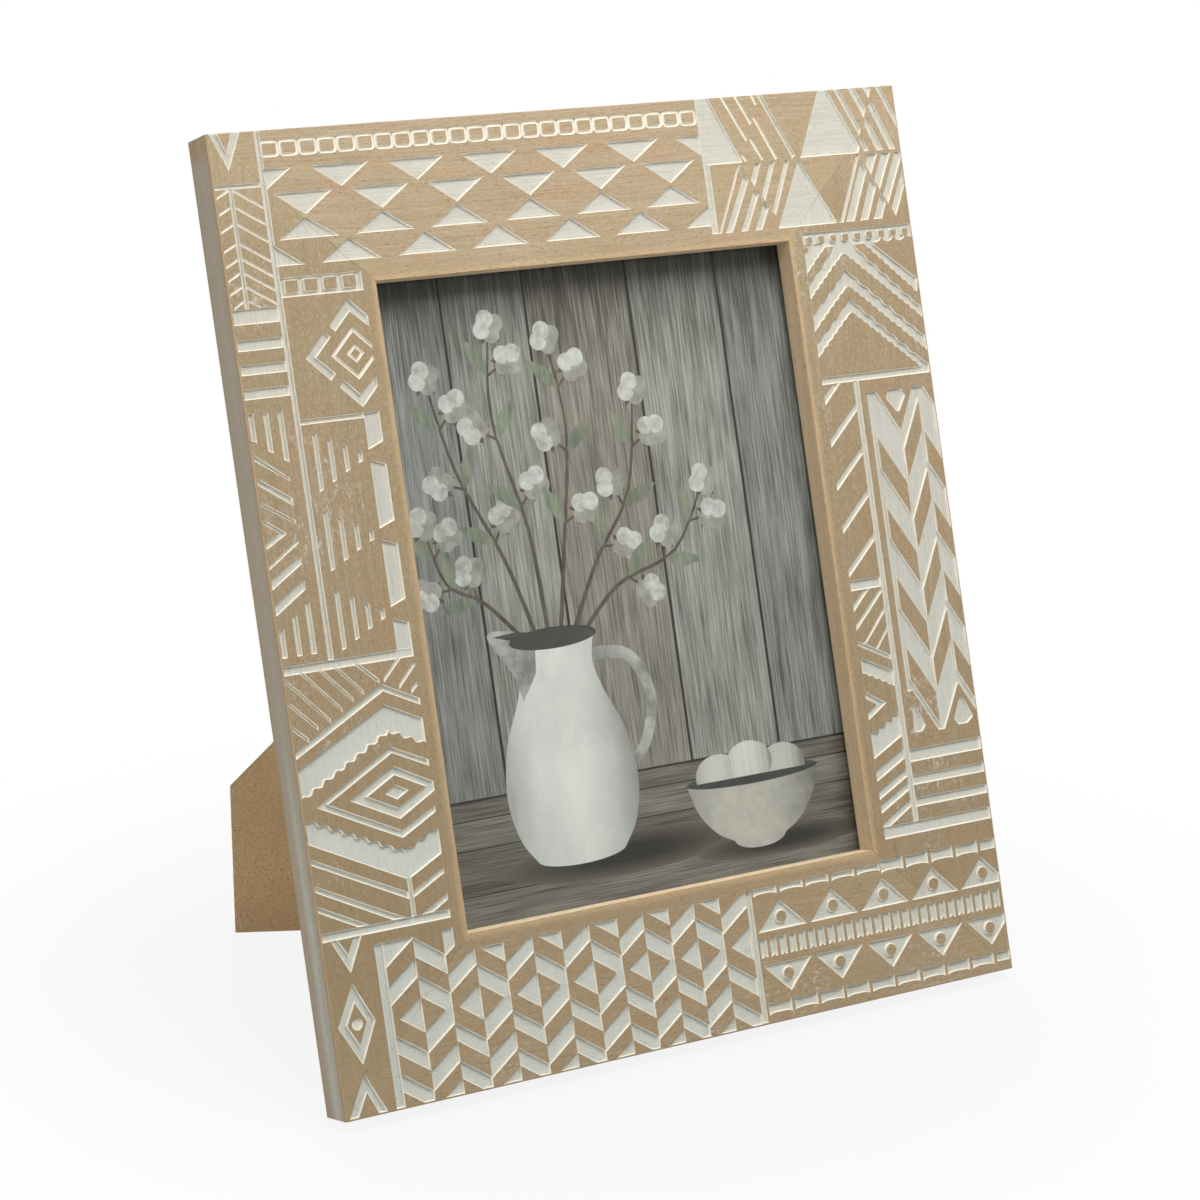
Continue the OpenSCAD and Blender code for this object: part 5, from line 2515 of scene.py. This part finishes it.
class FastenerSetter(Copier):
    """Sets one fastener at each point, each turned its own way."""

    def __init__(self) -> None:
        """Builds the tree."""
        super().__init__("set_fasteners", {"Geometry": "Geometry", "Fastener": "Object",
                                           "Turn": "Float", "Seed": "Int", "Finish": "Material"})
        piece = self.add("GeometryNodeObjectInfo", {"Object": self.given["Fastener"]})
        angle = self.add("FunctionNodeRandomValue", {2: 0.0, 3: self.given["Turn"],
                                                     "Seed": self.given["Seed"]}).outputs[1]
        self.end({"Points": self.given["Geometry"], "Instance": piece.outputs["Geometry"],
                  "Rotation": self.add("ShaderNodeCombineXYZ", {2: angle}).outputs[0]})

    def fill(self, node: str, fastener: Mesh, axis: Vector, finish: Material) -> Mesh:
        """Sets a fastener in the place of each solid of a CAD node.

        Args:
            node: the CAD node.
            fastener: the fastener in millimetres, with its crown at the origin, along z.
            axis: the way that the fasteners' heads look, in the part's own axes.
            finish: their material.

        Returns:
            The fasteners as one mesh in the part's own axes.
        """
        to_part = axis.to_track_quat("Z", "Y").to_matrix().to_4x4() @ Matrix.Scale(MM, 4)
        back = to_part.inverted()
        crowns = []
        for solid in solids_of(node):
            x, y, z = zip(*(back @ point for point in solid))
            crowns.append(((min(x) + max(x)) / 2, (min(y) + max(y)) / 2, max(z)))
        seats = bpy.data.meshes.new("seats")
        seats.from_pydata(crowns, [], [])
        holder = placed("fastener", fastener)
        mesh = self.run(seats, {"Fastener": holder, "Turn": math.tau, "Seed": len(node),
                                "Finish": finish})
        bpy.data.objects.remove(holder)
        mesh.transform(to_part)
        return mesh


@dataclass
class Fittings:
    """Board, strut, hinge, turn buttons, hangers and nails behind the picture."""

    board_bevel: float = 0.35
    metal_bevel: float = 0.12
    plates: tuple[tuple[str, str], ...] = (
        ("board_hinge_leaf", "frame"), ("strut_hinge_leaf", "strut"), ("hinge_pin", "frame"),
        ("portrait_hanger", "frame"), ("landscape_hanger", "frame"))

    def build(self) -> None:
        """Makes and dresses every fitting."""
        zinc = Steel("zinc_plate").make()
        brass = Steel("brassed_plate", plate=tint(212, 180, 112), dull=tint(160, 128, 70)).make()
        self._boards()
        for node, body in self.plates:
            self._metal(node, body, zinc)
        for name in (side.name.lower() for side in Side):
            self._metal(f"turn_button_{name}", f"button_{name}", brass)
        self._fasteners(zinc)
        card = Fibreboard("pulp_card", tint(168, 165, 158), tint(140, 136, 128),
                          tint(112, 108, 100)).make()
        for node, finish in (("corner_nails", zinc), ("glass_pane", ClearGlass().make()),
                             ("spacer_card", card)):
            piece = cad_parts[node]
            piece.data.materials.clear()
            piece.data.materials.append(finish)

    def _boards(self) -> None:
        """The back board and the strut, with darker cut edges."""
        face = Fibreboard("board_face").make()
        edge = Fibreboard("board_edge", tint(158, 130, 92), tint(126, 99, 66),
                          tint(86, 65, 43)).make()
        for node, body in (("back_board", "frame"), ("strut", "strut")):
            mesh = softened(node, self.board_bevel)
            mesh.materials.clear()
            mesh.materials.append(face)
            mesh.materials.append(edge)
            broad = max(mesh.polygons, key=lambda p: p.area).normal.copy()
            for polygon in mesh.polygons:
                polygon.material_index = int(abs(polygon.normal.dot(broad)) < 0.9)
            finish_piece(f"fibre_{node}", mesh, body, node)

    def _metal(self, node: str, body: str, finish: Material) -> None:
        """One metal piece with softened edges.

        Args:
            node: the CAD node that it stands for.
            body: the body that it rides on.
            finish: its material.
        """
        mesh = softened(node, self.metal_bevel)
        mesh.materials.clear()
        mesh.materials.append(finish)
        finish_piece(f"plated_{node}", mesh, body, node)

    @staticmethod
    def _fasteners(finish: Material) -> None:
        """Screws, rivets and nails, set where the CAD nodes have theirs.

        Args:
            finish: their material.
        """
        setter = FastenerSetter()
        back = (STAND.matrix().to_3x3() @ Vector((0, 1, 0))).normalized()
        strut = max(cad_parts["strut"].data.polygons, key=lambda p: p.area).normal.copy()
        strut = strut if strut.dot(back) > 0 else -strut
        for node, body, kind, axis, more in (
                ("button_screws", "frame", RoundScrew, back, {}),
                ("board_rivets", "frame", DomedRivet, back, {"tail": 0.5}),
                ("strut_rivets", "strut", DomedRivet, strut, {}),
                ("hanger_nails", "frame", WireNail, back, {})):
            reach = [point.dot(axis) / MM for point in solids_of(node)[0]]
            fastener = kind(length=max(reach) - min(reach), **more)
            mesh = setter.fill(node, fastener.make(), axis, finish)
            finish_piece(f"plated_{node}", mesh, body, node)


@dataclass
class Studio:
    """Camera, lamps, floor and surroundings."""

    camera_place: tuple[float, float, float] = (-0.4401, -0.8162, 0.3972)
    camera_turn: tuple[float, float, float] = (73.4194, -0.1374, -28.767)
    lens: float = 94.06
    sensor: float = 36.0
    clip: Point = (0.01, 50.0)
    aim: tuple[float, float, float] = (0.0, 0.0, 0.14)
    lamps: tuple[tuple[str, tuple[float, float, float], Point, float], ...] = (
        ("main_lamp", (0.10, -0.36, 0.86), (0.5, 0.42), 5.7),
        ("left_lamp", (-1.15, -0.12, 0.38), (0.6, 0.6), 7.0),
        ("right_lamp", (1.15, -0.1, 0.42), (0.6, 0.6), 4.0),
        ("rear_lamp", (0.3, 1.2, 0.9), (0.8, 0.8), 14.0))
    surround: float = 0.07
    floor_size: float = 8.0

    def build(self) -> None:
        """Makes the whole studio."""
        self._camera()
        for name, place, size, power in self.lamps:
            self._lamp(name, Vector(place), size, power)
        self._world()
        self._floor()

    def _camera(self) -> None:
        """Camera at the photograph's viewing angle."""
        data = bpy.data.cameras.new("camera")
        data.lens, data.sensor_width, data.sensor_fit = self.lens, self.sensor, "HORIZONTAL"
        data.clip_start, data.clip_end = self.clip
        camera = placed("camera", data)
        camera.location = self.camera_place
        camera.rotation_euler = [math.radians(a) for a in self.camera_turn]
        bpy.context.scene.camera = camera

    def _lamp(self, name: str, place: Vector, size: Point, power: float) -> None:
        """One soft oblong lamp that points at the frame.

        Args:
            name: its name.
            place: where it is, in metres.
            size: its width and height in metres.
            power: its power in watts.
        """
        data = bpy.data.lights.new(name, "AREA")
        data.shape, data.energy = "RECTANGLE", power
        data.size, data.size_y = size
        lamp = placed(name, data)
        lamp.location = place
        lamp.rotation_euler = (Vector(self.aim) - place).to_track_quat("-Z", "Y").to_euler()

    def _world(self) -> None:
        """White surroundings for the eye and for reflections, and a weaker light."""
        world = bpy.data.worlds.new("surround")
        world.use_nodes = True
        world.node_tree.nodes.clear()
        nodes = Nodes(world.node_tree)
        light, seen = (nodes.add("ShaderNodeBackground", {"Strength": strength, "Color": WHITE})
                       for strength in (self.surround, 1.0))
        both = nodes.add("ShaderNodeMixShader", {0: self._seen(nodes), 1: light.outputs[0],
                                                 2: seen.outputs[0]})
        nodes.add("ShaderNodeOutputWorld", {0: both.outputs[0]})
        bpy.context.scene.world = world

    @staticmethod
    def _seen(nodes: Nodes) -> Socket:
        """Picks out what the eye sees, straight or through glass and mirrors.

        Args:
            nodes: the tree that it is used in.

        Returns:
            1 for rays from the camera and for mirrored and refracted ones before any soft bounce.
        """
        path = nodes.add("ShaderNodeLightPath").outputs
        clear = nodes.largest(*(path[f"Is {kind} Ray"]
                                for kind in ("Camera", "Glossy", "Transmission")))
        return nodes.times(clear, nodes.maths("LESS_THAN", path["Diffuse Depth"], 0.5))

    def _floor(self) -> None:
        """Pale floor that keeps a faint shadow and fades to white with distance."""
        half = self.floor_size / 2
        mesh = plain_mesh([Vector((*point, 0.0)) for point in rect(-half, -half, half, half)],
                          [[0, 1, 2, 3]])
        coat = Coat("pale_floor")
        away = coat.add("ShaderNodeVectorMath", {0: coat.where}, operation="LENGTH")
        share = coat.span(away.outputs["Value"], 0.1, 0.27, 0.88, 1.0, smooth=True)
        coat.veil(coat.times(self._seen(coat), share),
                  coat.add("ShaderNodeEmission", {"Color": WHITE, "Strength": 1.0}))
        mesh.materials.append(coat.finish(tint(190, 190, 189), 0.9, 0.1))
        placed("floor", mesh)


def main() -> None:
    """Builds every sub-assembly in order."""
    logging.basicConfig(level=logging.INFO, format="%(name)s: %(message)s")
    Studio().build()
    carving = Carving()
    for carved in CARVED_FIELDS:
        carved().carve(carving)
        LOG.info("drew %s", carved.__name__)
    cutters = carving.cutters()
    Rails().build(cutters)
    for cutter in cutters:
        bpy.data.objects.remove(cutter)
    StillLife().build()
    Fittings().build()
    scene = bpy.context.scene
    scene.view_settings.view_transform = "Standard"


if __name__ == "__main__":
    main()
